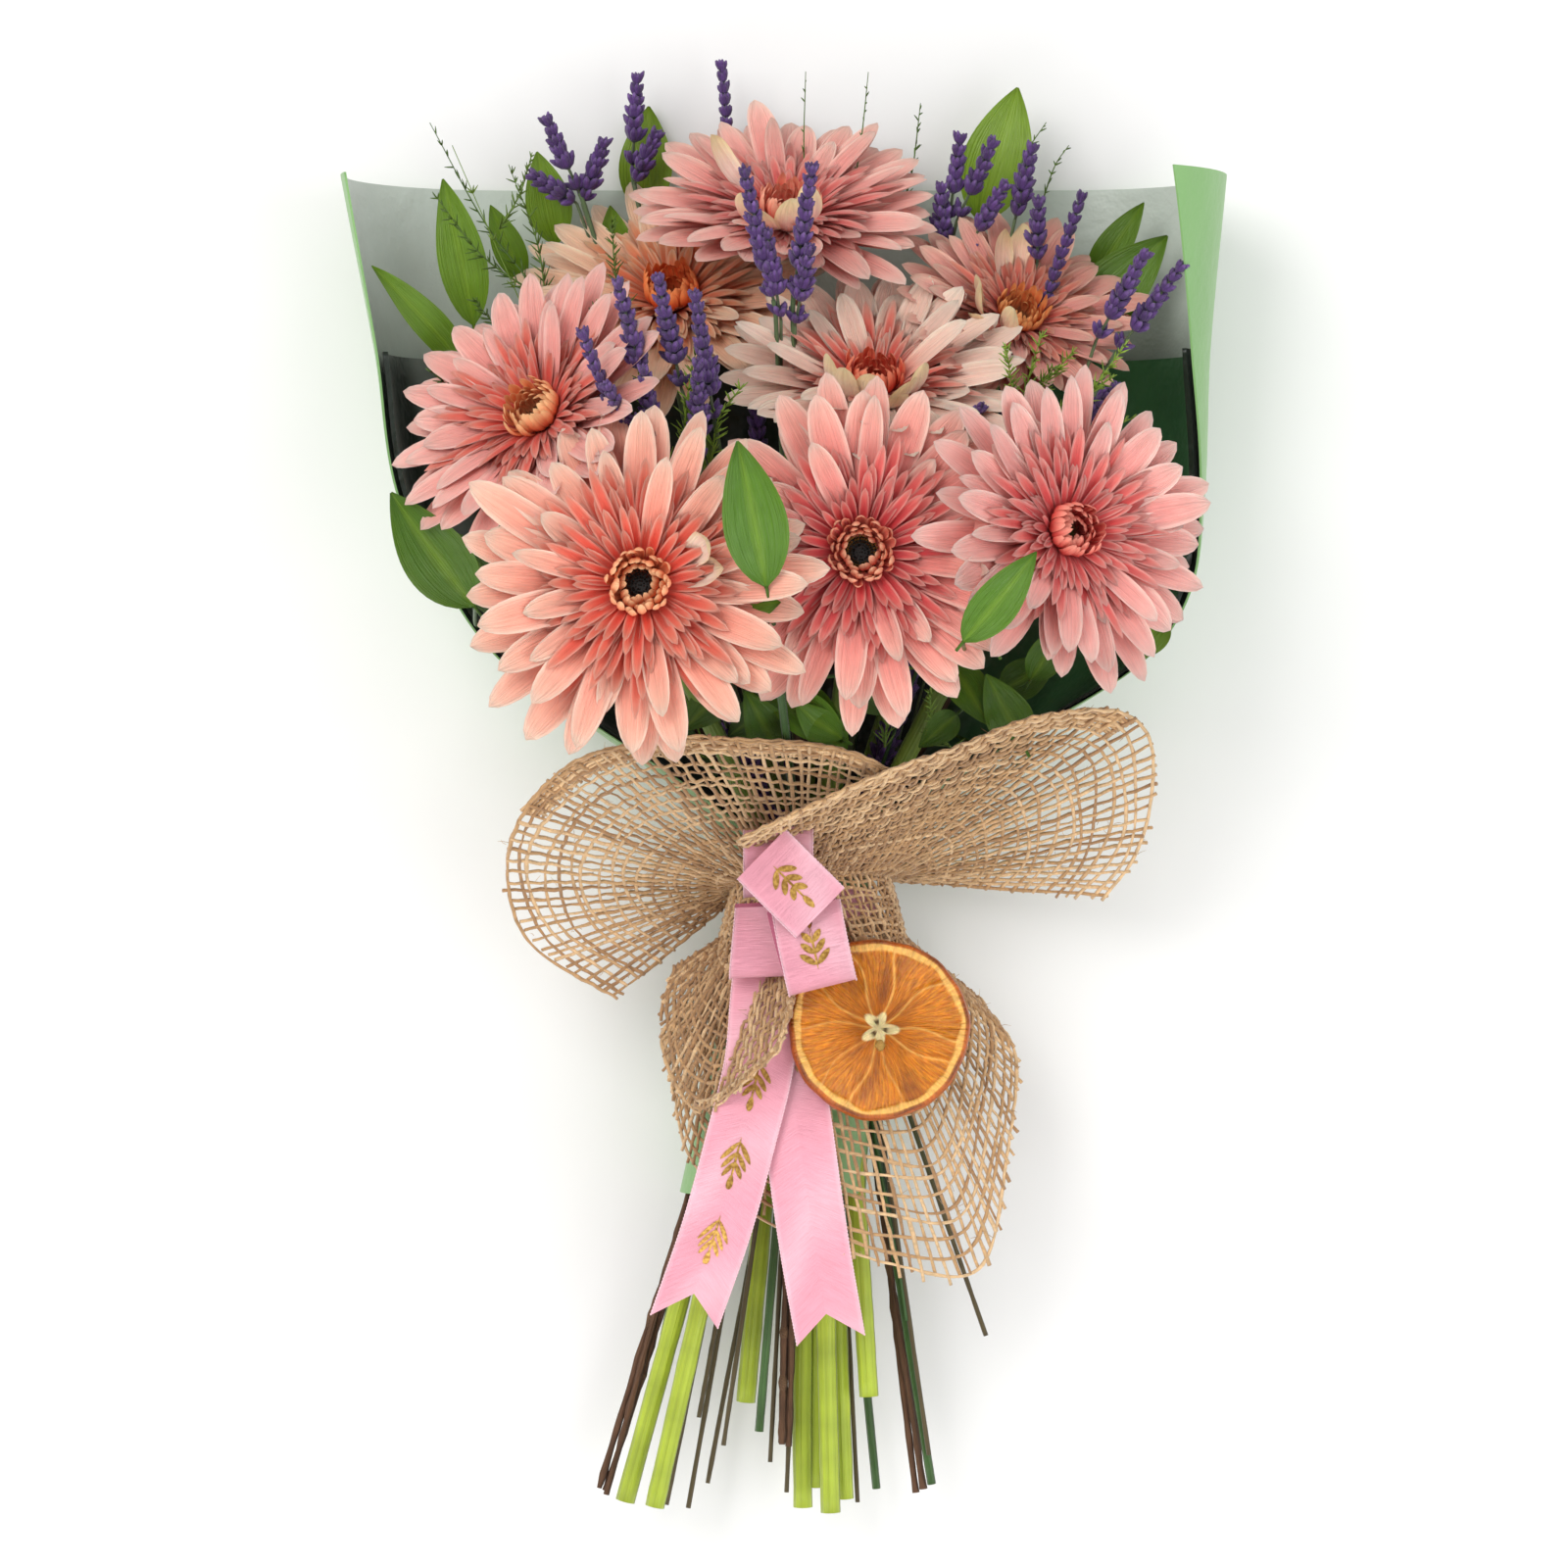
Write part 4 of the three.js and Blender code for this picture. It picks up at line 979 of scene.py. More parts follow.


# Fronds by the fern they grow from: foot, tip, how light, needles, reach. How light is partly the fern's
# own varied green and partly painted shade: fronds low in the bunch are darker.
FRONDS = {
    1: [
        ((-86, 176, 48), (-128, 240, 62), 0.15, 27, 7), ((-92, 180, 50), (-127, 215, 62), 0.2, 39, 7),
        ((-86, 170, 48), (-100, 226, 50), 0.25, 51, 8), ((-100, 120, 70), (-128, 150, 84), 0.15, 60, 8),
        ((-98, 110, 74), (-124, 118, 90), 0.2, 54, 7), ((-70, 120, 96), (-66, 172, 118), 0.35, 45, 7),
        ((-34, 108, 110), (-30, 158, 128), 0.8, 66, 9), ((-40, 112, 108), (-52, 150, 124), 0.7, 60, 8),
        ((-26, 104, 108), (-14, 142, 122), 0.75, 60, 9), ((-30, 96, 104), (-34, 136, 122), 0.85, 54, 9),
        ((-58, 172, 70), (-62, 205, 74), 0.25, 45, 7), ((-92, 150, 66), (-112, 176, 72), 0.2, 51, 8),
        ((-104, 204, 34), (-92, 232, 34), 0.4, 39, 6),
    ],
    2: [
        ((78, 124, 70), (104, 156, 104), 0.85, 66, 9), ((82, 120, 74), (118, 146, 108), 0.8, 66, 9),
        ((84, 118, 76), (92, 162, 104), 0.75, 60, 9), ((86, 116, 78), (126, 132, 100), 0.7, 60, 8),
        ((90, 116, 76), (108, 134, 112), 0.9, 66, 9), ((10, 200, 40), (8, 262, 30), 0.2, 12, 4),
        ((24, 210, 36), (31, 262, 28), 0.2, 12, 4), ((84, 214, 36), (96, 243, 34), 0.25, 15, 5),
        ((92, 206, 40), (104, 234, 40), 0.25, 15, 5), ((44, 214, 36), (50, 250, 34), 0.2, 18, 5),
        ((60, 14, 88), (52, 36, 104), 0.4, 45, 8), ((36, 14, 90), (42, 40, 104), 0.35, 45, 8),
        ((92, 120, 92), (122, 158, 116), 0.85, 60, 9), ((84, 126, 96), (78, 156, 124), 0.8, 54, 8),
    ],
}


def fern_spray(k):
    node = f"fern_{k}"
    line, thin, first = stalk_below_head(node)
    b = Builder()
    stem_tube(b, spline(line[: first + 1], 60), thin * 0.7, srgb(54, 88, 40), FERN_DARK, sides=7)
    frond(b, line[first], line[-1], 0.5, 90, 8)
    for foot, tip, light, needles, reach in FRONDS[k]:
        frond(b, at(foot), at(tip), light, needles, reach)
    add(b.build(f"fern_spray_{k}", [NEEDLE]), "fern", node)


for k in FRONDS:
    fern_spray(k)

# ---------------------------------------------------------------- wrap and lining

# Rows across the wrap, in part.mjs's millimetres: y, middle x, half width, corner radii, height of
# the back, and how far past upright the left and right edges turn, in degrees.
WAIST = 19.7
SECTIONS = np.array([
    [-148, -4, 34, 34, 34, 0, 68, 68],
    [-95, 3, 29, 29, 29, 5, 74, 74],
    [-38, 10, WAIST, WAIST, WAIST, 36 - WAIST, 80, 80],
    [-5, 10, 44, 40, 38, 4, 34, 34],
    [20, 12, 80, 50, 50, 0, 20, 18],
    [45, 14, 116, 56, 55, 0, 6, 6],
    [70, 13, 134, 58, 56, 0, 2, 6],
    [105, 6, 146, 60, 57, 0, 3, 15],
    [158, 3, 151, 60, 57, 0, 9, 30],
    [221, 0, 160, 60, 58, 0, 16, 50],
])
SHEET_THICK = 0.8
LINING_INSET = 2.4
WRAP_FOOT, WRAP_TOP, LINING_FOOT, LINING_TOP = -148, 221, -22, 157
COLUMNS = 181
# Where the wrap's back lies flat on its belly, between two y's in part.mjs's millimetres, and how fast it
# rises beyond them.
BELLY_LOW, BELLY_HIGH, BELLY_RISE = 78, 110, 0.006


def between(rows, key):
    """The row at `key`, on a smooth curve through the table's rows."""
    i = int(np.clip(np.searchsorted(rows[:, 0], key), 1, len(rows) - 1))
    p, a, b, n = rows[max(i - 2, 0)], rows[i - 1], rows[i], rows[min(i + 1, len(rows) - 1)]
    span = b[0] - a[0]
    t = (key - a[0]) / span
    m0, m1 = (b - p) / (b[0] - p[0]) * span, (n - a) / (n[0] - a[0]) * span
    row = (
        (2 * t**3 - 3 * t**2 + 1) * a + (t**3 - 2 * t**2 + t) * m0
        + (-2 * t**3 + 3 * t**2) * b + (t**3 - t**2) * m1
    )
    return row[1:]


def back_height(height, y):
    """Height of the wrap's back: it lies flat on its belly and rises a little to both sides."""
    beyond = 0 if y < 0 else max(BELLY_LOW - y, y - BELLY_HIGH, 0)
    return max(height, BELLY_RISE * beyond)


def on_section(s, y, inset):
    """Points of the wrap at y: s runs from -1 at the left edge, under the back, to 1 at the right."""
    cx, a, rx, rz, height, left, right = between(SECTIONS, y)
    z0 = back_height(height, y)
    turn = math.pi / 2 + np.radians(np.where(s < 0, left, right))
    flat = max(a - rx, 0)
    arc = (rx + rz) / 2 * turn
    run = np.abs(s) * (flat + arc)
    side = np.where(s < 0, -1, 1)
    angle = np.clip((run - flat) / arc, 0, 1) * turn - math.pi / 2
    on_flat = run <= flat
    x = np.where(on_flat, cx + side * run, cx + side * (flat + (rx - inset) * np.cos(angle)))
    z = np.where(on_flat, z0 + inset, z0 + rz + (rz - inset) * np.sin(angle))
    return np.stack([x, np.full_like(x, y), z], axis=1)


def slab(b, upper, under, upper_colour, under_colour, slots=(0, 1)):
    """A closed sheet from two grids of points, with a rim between their edges."""
    ni, nj = upper.shape[:2]
    i, j = np.meshgrid(np.linspace(0, 1, ni), np.linspace(0, 1, nj), indexing="ij")
    uvs = np.stack([j.ravel(), i.ravel()], axis=1)
    faces = grid_faces(ni, nj)
    b.add(upper.reshape(-1, 3), [faces], upper_colour, uvs, slots[0])
    b.add(under.reshape(-1, 3), [faces[:, ::-1]], under_colour, uvs, slots[1])
    k = np.arange(ni * nj).reshape(ni, nj)
    loop = np.concatenate([k[0, :-1], k[:-1, -1], k[-1, :0:-1], k[:0:-1, 0]])
    ring = np.vstack([upper.reshape(-1, 3)[loop], under.reshape(-1, 3)[loop]])
    n = np.arange(len(loop))
    after = (n + 1) % len(loop)
    quads = np.stack([n, n + len(loop), after + len(loop), after], axis=1)
    b.add(ring, [quads], upper_colour if np.ndim(upper_colour) == 1 else upper_colour[0], slot=slots[0])


def film(name, sheen, rough, wrinkle, crease_scale):
    """Thin wrapping film: a faint crinkle, long soft creases and a slight unevenness of colour."""
    n = Nodes(name)
    crinkle = n.noise(n.place(), crease_scale, 4.0, 0.6)
    cloud = n.noise(n.place((1, 0.35, 1)), 26, 2.0)
    n.colour(n.shade(n.tint(), n.remap(cloud, 0.3, 0.7, 0.93, 1.05)))
    n.bump(crinkle, wrinkle)
    n.set(Roughness=rough, Sheen_Weight=sheen, Sheen_Roughness=0.5)
    return n.material


FILM_OUTSIDE = film("film_outside", 0.15, 0.48, 0.0012, 60)
FILM_INSIDE = film("film_inside", 0.1, 0.36, 0.0012, 60)
LINING = film("lining_film", 0.05, 0.30, 0.0030, 34)


def wrap_grid(ys, inset, ripple):
    s = np.linspace(-1, 1, COLUMNS)
    rows = [on_section(s, y, inset + ripple(s, y)) for y in ys]
    points = at(np.array(rows).reshape(-1, 3)).reshape(len(ys), COLUMNS, 3)
    points[..., 2] = np.maximum(points[..., 2], (inset + 0.1) * MM)
    return points


def pleats(s, y):
    """Folds that gather towards the tie and die out up the wrap; they only stand outwards."""
    near = math.exp(-(((y - TIE_MM[1]) / 60) ** 2))
    wave = 0.5 + 0.5 * np.sin(s * 34 + 3 * np.sin(s * 5) + y * 0.01)
    soft = 0.5 + 0.5 * np.sin(s * 11 + y * 0.03)
    edge = smooth((np.abs(s) - 0.30) / 0.2)
    return -(1.5 * near * wave + 0.5 * edge * soft * smooth((y - 10) / 60))


def folds(s, y, phase=0.0):
    """0 to 1 across the long folds of the lining."""
    return 0.5 + 0.5 * np.sin(s * 23 + y * 0.045 + 2 * np.sin(y * 0.03) + phase)


def creases(s, y):
    """Soft dents in the lining, inwards only."""
    return 1.2 * folds(s, y) * smooth((y + 10) / 40)


def smooth_side(s, y):
    return 0 * s


FILM_GREEN, FILM_SILVER, FILM_SHADE = srgb(126, 172, 106), srgb(190, 200, 190), srgb(112, 136, 112)
# The lining's colour in painted shade, near black, and in painted light, green.
LINING_SHADE, LINING_LIT = srgb(20, 32, 22), srgb(70, 124, 76)


def outer_wrap():
    ys = np.concatenate([np.linspace(WRAP_FOOT, 20, 72), np.linspace(23, WRAP_TOP, 60)])
    outer = wrap_grid(ys, 0.0, pleats)
    inner = wrap_grid(ys, SHEET_THICK, pleats)
    rise = np.repeat(smooth((ys - 90) / 110), COLUMNS)[:, None]
    b = Builder()
    slab(b, outer, inner, FILM_GREEN, lerp(FILM_SHADE, FILM_SILVER, rise), slots=(0, 1))
    sheet = b.build("outer_wrap", [FILM_OUTSIDE, FILM_INSIDE])
    add(sheet, "wrap_film", "wrap_sheet")
    return sheet


def inner_lining():
    """The dark lining in painted shade, with painted green light on its right side and a painted glint of
    silver reflection on its left.
    """
    ys = np.linspace(LINING_FOOT, LINING_TOP, 90)
    outer = wrap_grid(ys, LINING_INSET, smooth_side)
    inner = wrap_grid(ys, LINING_INSET + SHEET_THICK, creases)
    across = np.tile(np.linspace(-1, 1, COLUMNS), len(ys))
    along = np.repeat(ys, COLUMNS)
    fold = folds(across, along, 1.2)
    # Painted light across the right side, stronger on the folds, a painted silver reflection on the left,
    # and painted shade everywhere else.
    lit = smooth((across - 0.25) / 0.4) * (0.55 + 0.45 * fold)
    glint = smooth((-across - 0.62) / 0.25) * fold**2 * smooth((along - 30) / 90)
    colour = lerp(LINING_SHADE, LINING_LIT, lit[:, None])
    colour = lerp(colour, FILM_SILVER, 0.5 * glint[:, None])
    b = Builder()
    slab(b, outer, inner, LINING_SHADE, colour, slots=(0, 0))
    lining = b.build("inner_lining", [LINING])
    add(lining, "lining_film", "wrap_lining")
    return lining


sheet, lining = outer_wrap(), inner_lining()

# ---------------------------------------------------------------- burlap


def jute():
    n = Nodes("jute_thread")
    twist = n.noise(n.along(3, 90), 1.0, 2.0)
    fuzz = n.noise(n.place(), 2600, 2.0)
    n.colour(n.shade(n.tint(), n.remap(twist, 0.3, 0.7, 0.78, 1.16)))
    n.bump(fuzz, 0.0004)
    n.set(Roughness=0.9, Sheen_Weight=0.3, Sheen_Roughness=0.6)
    return n.material


JUTE = jute()
PITCH = 4.3  # between threads, in millimetres
THREAD = 0.66  # a thread's radius, in millimetres
THREAD_LIFT = 0.5  # how far a thread swings over and under the cloth's middle
STRAW = [srgb(204, 164, 116), srgb(188, 146, 98), srgb(220, 184, 138), srgb(170, 128, 84)]
RIM_POINTS = 400


def round_waist(radius, angle, y):
    """Points on a circle round the waist's middle, in part.mjs's millimetres; angle is in radians."""
    x, z = TIE_MM[0] + radius * np.cos(angle), TIE_MM[2] + radius * np.sin(angle)
    return np.stack([x, np.full_like(x, y), z], axis=-1)


class Fan:
    """A sheet from an arc round the waist out to an edge, both told in part.mjs's millimetres."""

    def __init__(self, radius, angles, y, edge, sag, waves):
        self.edge = spline(edge, RIM_POINTS)
        self.radius, self.angles, self.y = radius, angles, y
        self.sag, self.waves = sag, waves
        steps = np.linalg.norm(np.diff(self.edge, axis=0), axis=1)
        self.length = steps.sum()
        spokes = np.linspace(0, 1, 30)
        self.depth = float(np.linalg.norm(self.at(spokes, 1) - self.at(spokes, 0), axis=-1).mean())

    def rim(self, u):
        inside, share = np.clip(u, 0, 1), np.linspace(0, 1, RIM_POINTS)
        point = np.stack([np.interp(inside, share, self.edge[:, k]) for k in range(3)], axis=-1)
        start, end = self.edge[0] - self.edge[8], self.edge[-1] - self.edge[-9]
        point += np.minimum(u, 0)[..., None] * -unit(start) * self.length
        return point + np.maximum(u - 1, 0)[..., None] * unit(end) * self.length

    def at(self, u, v):
        u, v = np.broadcast_arrays(np.asarray(u, float), np.asarray(v, float))
        angle = np.radians(lerp(self.angles[0], self.angles[1], np.clip(u, 0, 1)))
        point = lerp(round_waist(self.radius, angle, self.y), self.rim(u), v[..., None])
        point[..., 2] += self.sag * np.sin(math.pi * np.clip(v, 0, 1))
        for amount, across, along, phase in self.waves:
            point[..., 2] += amount * np.clip(v, 0, 1.1) ** 1.3 * np.sin(across * u + along * v + phase)
        return point

    def normal(self, u, v):
        e = 1e-3
        n = np.cross(self.at(u + e, v) - self.at(u - e, v), self.at(u, v + e) - self.at(u, v - e))
        return n / np.maximum(np.linalg.norm(n, axis=-1, keepdims=True), 1e-9)


def thread(b, path, tone, radius=THREAD):
    count = len(path)
    slub = 1 + 0.16 * np.convolve(rng.normal(0, 1, count + 4), np.ones(5) / 2.2, "valid")
    colour = STRAW[rng.integers(4)] * tone
    tube(b, at(path), radius * slub * MM, 5, colour * (1 + 0.07 * rng.normal(0, 1, (count, 1))))


def warp_threads(b, fan, start, pitch, fray, tone):
    """Threads along the fan's spokes; fray is how far they stick out past the rim."""
    warps = int(fan.length / pitch)
    for i in range(warps + 1):
        u0 = (i + rng.uniform(-0.16, 0.16)) / warps
        stop = 1 + rng.uniform(0.2, 1) * fray / fan.depth
        v = np.arange(start, stop, 1 / (2 * fan.depth / pitch))
        if len(v) < 3:
            continue
        u = u0 + 0.16 * pitch / fan.length * np.sin(v * 9 + i) * v
        over = THREAD_LIFT * np.cos(math.pi * (v - start) * fan.depth / pitch + math.pi * i)
        thread(b, fan.at(u, v) + fan.normal(u, v) * over[:, None], tone)


def weft_threads(b, fan, start, pitch, fray, tone, drop):
    """Threads across the spokes; fray is how far they stick out past the fan's two sides."""
    wefts = int((1 - start) * fan.depth / pitch)
    for j in range(1, wefts + 1):
        v0 = lerp(start, 1, (j + rng.uniform(-0.14, 0.14)) / wefts)
        ends = rng.uniform(0.2, 1, 2) * fray / fan.length
        u = np.arange(-ends[0], 1 + ends[1], pitch / fan.length / 2)
        v = v0 + 0.22 * pitch / fan.depth * np.sin(u * 17 + j * 1.7)
        over = -THREAD_LIFT * np.cos(math.pi * u * fan.length / pitch + math.pi * j)
        points = fan.at(u, v) + fan.normal(u, v) * over[:, None]
        keep = v <= 1.02
        for run in np.split(np.arange(len(u)), np.where(~keep)[0]):
            run = run[keep[run]]
            if len(run) > 3 and rng.uniform() > drop:
                thread(b, points[run], tone)


def weave(b, fan, start, fray, pitch=PITCH, tone=1.0, drop=0.0):
    """Warp and weft over and under each other, from `start` of the way out to the rim.

    fray is how far, in millimetres, the threads stick out past the rim and past the two sides, and
    drop is the share of wefts that are missing.
    """
    warp_threads(b, fan, start, pitch, fray[0], tone)
    weft_threads(b, fan, start, pitch, fray[1], tone, drop)


HEM_ROLL = np.array([0.2, 0.9, 1.3, 1.2, 0.4])[:, None]  # height of a stitch over the doubled edge


def rim_band(b, fan, u_range, width, layers, tone):
    """The doubled edge where the cloth turns under: threads laid side by side along the rim."""
    u = np.linspace(*u_range, int((u_range[1] - u_range[0]) * fan.length / 2.4))
    for k in range(layers):
        v0 = 1 - width * k / layers / fan.depth
        wander = 0.35 / fan.depth * np.sin(u * 40 + k * 2.1)
        points = fan.at(u, v0 + wander)
        points += fan.normal(u, v0) * (0.7 + 0.45 * np.cos(np.arange(len(u)) * 2.2 + k))[:, None]
        thread(b, points, tone * rng.uniform(0.84, 1.06), THREAD * 0.95)
    turns = int((u_range[1] - u_range[0]) * fan.length / 2.3)
    for k in range(turns):
        u = np.full(5, lerp(*u_range, (k + rng.uniform(-0.3, 0.3)) / turns))
        v = np.linspace(1 - width / fan.depth, 1.0, 5)
        points = fan.at(u, v) + fan.normal(u, v) * HEM_ROLL
        thread(b, points, tone * rng.uniform(0.8, 1.05), THREAD * 0.9)


def loose_fibres(b, fan, count):
    """Short hairs that stand off the cloth."""
    for _ in range(count):
        u, v = rng.uniform(0, 1), rng.uniform(0.1, 1.0)
        start = fan.at(u, v)
        away = unit(fan.normal(u, v) * rng.uniform(0.4, 1) + rng.normal(0, 0.8, 3))
        bend = unit(away + rng.normal(0, 0.6, 3))
        size = rng.uniform(2, 5.5)
        path = np.stack([start, start + away * size * 0.5, start + away * size * 0.5 + bend * size * 0.5])
        tube(b, at(path), np.array([0.13, 0.11, 0.05]) * MM, 3, STRAW[rng.integers(4)])


COLLAR_R, SKIRT_R = WAIST + 3.6, WAIST + 1.9
LEFT_WING = Fan(
    COLLAR_R, (70, 204), -36,
    [(44, 2, 102), (20, 13, 109), (-10, 16, 112), (-39, 17, 110), (-71, 10, 98), (-93, -8, 84),
     (-101, -30, 70), (-92, -56, 58), (-62, -77, 46)],
    -4, [(2.6, 19, 1, 0.4), (1.5, 33, 4, 1.1)],
)
RIGHT_WING = Fan(
    COLLAR_R + 1.6, (-22, 118), -34,
    [(116, -40, 52), (127, -26, 60), (132, -8, 72), (129, 17, 88), (115, 27, 100), (86, 23, 110),
     (60, 13, 113), (34, 4, 113), (8, -8, 109), (-15, -19, 98)],
    -3, [(2.8, 16, 2, 2.2), (1.5, 30, 5, 0.3)],
)
SKIRT = Fan(
    SKIRT_R, (-20, 200), -44,
    [(72, -78, 40), (84, -98, 52), (81, -132, 60), (70, -172, 64), (40, -172, 72), (12, -163, 73),
     (-6, -156, 69), (-32, -136, 60), (-40, -112, 48), (-44, -90, 38)],
    6, [(2.4, 21, 2, 0.2), (1.3, 37, 4, 2.0)],
)
SKIRT_FLAP = Fan(
    SKIRT_R + 3.2, (96, 176), -50,
    [(3, -78, 87), (-1, -92, 88), (-8, -100, 88), (-18, -109, 84), (-30, -116, 76), (-41, -104, 66),
     (-44, -82, 56), (-40, -66, 52)],
    3, [(1.6, 16, 3, 0.6)],
)


def waist_arc(radius, y, low, high):
    return round_waist(radius, np.radians(np.linspace(low, high, 9)), y)


SLEEVES = [
    Fan(26.2, (-30, 84), -24, waist_arc(42, -84, -26, 50), 1.0, [(1.3, 26, 2, 0.2)]),
    Fan(26.2, (118, 206), -28, waist_arc(40, -80, 140, 204), 1.0, [(1.3, 24, 2, 1.0)]),
]


def burlap_bow():
    b = Builder()
    weave(b, LEFT_WING, 0.02, fray=(1.4, 3.5))
    rim_band(b, LEFT_WING, (0.0, 0.62), 8, 9, 1.12)
    weave(b, RIGHT_WING, 0.02, fray=(3.4, 3.0))
    rim_band(b, RIGHT_WING, (0.34, 1.0), 9, 10, 1.08)
    for sleeve in SLEEVES:
        weave(b, sleeve, 0.0, fray=(1.5, 0.8), pitch=2.7)
    loose_fibres(b, LEFT_WING, 180)
    loose_fibres(b, RIGHT_WING, 200)
    piece = b.build("burlap_bow", [JUTE])
    add(piece, "burlap", "burlap_collar")
    return piece


def burlap_tail():
    b = Builder()
    weave(b, SKIRT, 0.02, fray=(4.5, 4.0), drop=0.06)
    weave(b, SKIRT_FLAP, 0.05, fray=(3.2, 3.0), pitch=3.4, tone=0.96, drop=0.04)
    rim_band(b, SKIRT_FLAP, (0.0, 0.5), 3, 4, 0.95)
    loose_fibres(b, SKIRT, 200)
    loose_fibres(b, SKIRT_FLAP, 120)
    piece = b.build("burlap_tail", [JUTE])
    add(piece, "burlap", "burlap_skirt")
    return piece


collar, skirt = burlap_bow(), burlap_tail()

# ---------------------------------------------------------------- satin ribbon


def satin():
    n = Nodes("satin")
    threads = n.noise(n.along(2, 900), 1.0, 2.0)
    cloud = n.noise(n.place(), 70, 2.0)
    n.colour(n.shade(n.tint(), n.remap(cloud, 0.3, 0.7, 0.94, 1.05)))
    n.bump(threads, 0.00025)
    n.set(Roughness=0.30, Sheen_Weight=0.2, Sheen_Roughness=0.35, Anisotropic=0.6)
    return n.material


def gold_print():
    n = Nodes("gold_print")
    speck = n.noise(n.place(), 900, 2.0)
    n.colour(n.mix(n.remap(speck, 0.35, 0.65, 0, 1), srgb(150, 108, 50), srgb(206, 164, 84)))
    n.bump(speck, 0.0001)
    n.set(Roughness=0.32, Metallic=0.75)
    return n.material


SATIN, GOLD = satin(), gold_print()
# The palest pink is the edging's own colour and also the painted highlight on the satin.
PINK, PINK_UNDER, PINK_EDGE_AND_HIGHLIGHT = srgb(234, 158, 176), srgb(208, 112, 142), srgb(246, 200, 212)
RIBBON_WIDTH, RIBBON_THICK = 25.0, 0.6

# Each strip: its middle line and the way across it, in part.mjs's millimetres, how deep its end is
# notched, which side shows its face, and where the printed sprigs sit, as a share of its length.
STRIPS = {
    "ribbon_tail_right": dict(
        across=(1, 0.16, 0), notch=11, face=1, sprigs=(),
        path=[(6, -58, 64), (4, -80, 68), (3, -105, 73), (6, -130, 79), (11, -165, 79), (17, -200, 67)],
    ),
    "ribbon_tail_left": dict(
        across=(1, -0.2, 0), notch=12, face=1, sprigs=(0.38, 0.60, 0.82),
        path=[(-5, -58, 66), (-7, -78, 72), (-9, -100, 77), (-15, -125, 81), (-24, -158, 82),
              (-36, -193, 70)],
    ),
    "ribbon_loop_left": dict(
        across=(1, 0.04, 0), notch=0, face=-1, sprigs=(),
        path=[(-5, -42, 66), (-6, -54, 74), (-7, -65, 75.5), (-7, -68.5, 78), (-7, -65, 81), (-6, -54, 81),
              (-5, -43, 77)],
    ),
    "ribbon_loop_front": dict(
        across=(1, 0.25, 0), notch=0, face=-1, sprigs=(0.78,),
        path=[(6, -42, 83), (9, -54, 84.5), (13, -68, 84.5), (14, -72, 87), (13, -68, 91), (10, -54, 92),
              (8, -43, 89)],
    ),
    "ribbon_loop_top": dict(
        across=(1, 0.08, 0), notch=0, face=1, sprigs=(),
        path=[(-2, -38, 66), (-2, -27, 72), (-2, -17, 80), (-2, -15, 87), (-2, -22, 92), (-2, -32, 88),
              (-2, -39, 72)],
    ),
    "ribbon_fold": dict(
        across=(0.7, 0.72, 0), notch=0, face=1, sprigs=(0.5,),
        path=[(-8, -24, 96), (2, -34, 97), (13, -45, 95)],
    ),
}


class Strip:
    """A ribbon along a path. s is the share of its length and t runs from -1 to 1 across it."""

    def __init__(self, path, across, notch, face):
        self.line = spline(path, 90)
        self.across = unit(across)
        self.length = float(np.linalg.norm(np.diff(self.line, axis=0), axis=1).sum())
        self.notch = notch / self.length
        self.face = face

    def at(self, s, t):
        s = np.asarray(s, float) * (1 - self.notch * (1 - np.abs(t)))
        run = np.linspace(0, 1, len(self.line))
        point = np.stack([np.interp(s, run, self.line[:, k]) for k in range(3)], axis=-1)
        point = point + np.asarray(t)[..., None] * self.across * RIBBON_WIDTH / 2
        sway = 0.5 * np.sin(s * self.length / 11 + 1.3 * t) * smooth(s * 4) * (self.notch > 0)
        point[..., 2] += sway + 0.35 * (1 - t**2)
        return point

    def normal(self, s, t):
        e = 1e-3
        n = np.cross(self.at(s + e, t) - self.at(s - e, t), self.at(s, t + e) - self.at(s, t - e))
        return self.face * n / np.maximum(np.linalg.norm(n, axis=-1, keepdims=True), 1e-9)


def ribbon_strip(name, strip):
    rows, columns = max(24, int(strip.length / 1.6)), 15
    s, t = np.meshgrid(np.linspace(0, 1, rows), np.linspace(-1, 1, columns), indexing="ij")
    upper = strip.at(s, t)
    under = upper - strip.normal(s, t) * RIBBON_THICK * 0.7
    # Painted highlight: soft bands of paler pink along and across the satin stand in for its sheen; the
    # paler rim is the edging's own colour.
    gloss = 0.5 + 0.5 * np.sin(s * strip.length / 9 + 1.6 * t + strip.length)
    share = 0.45 * gloss**2 + 0.55 * smooth((np.abs(t) - 0.90) / 0.08)
    colour = lerp(PINK, PINK_EDGE_AND_HIGHLIGHT, share[..., None]).reshape(-1, 3)
    b = Builder()
    slab(b, at(upper), at(under), colour, PINK_UNDER, slots=(0, 0))
    for side in (-1, 1):
        count = int(strip.length / 0.45)
        run = np.linspace(0, 1, count)
        edge = at(strip.at(run, np.full(count, 0.985 * side)))
        beads = (0.20 + 0.24 * (np.arange(count) % 3 == 0)) * MM
        tube(b, edge, beads, 5, PINK_EDGE_AND_HIGHLIGHT)
    return b.build(name, [SATIN])


def petal_print(b, strip, s0, t0, angle, length, width):
    """One leaf of the printed sprig, laid just over the satin."""
    a = full_turn(18)
    x = length / 2 * (1 + np.cos(a))
    y = width / 2 * np.sin(a) * np.abs(np.sin(a)) ** 0.3
    across = (x * math.cos(angle) - y * math.sin(angle)) / (RIBBON_WIDTH / 2)
    along = (x * math.sin(angle) + y * math.cos(angle)) / strip.length
    s, t = s0 + along, t0 + across
    s, t = np.append(s, s.mean()), np.append(t, t.mean())
    points = strip.at(s, t) + strip.normal(s, t) * 0.22
    b.add(at(points), [disc_faces(18)], (1, 1, 1))


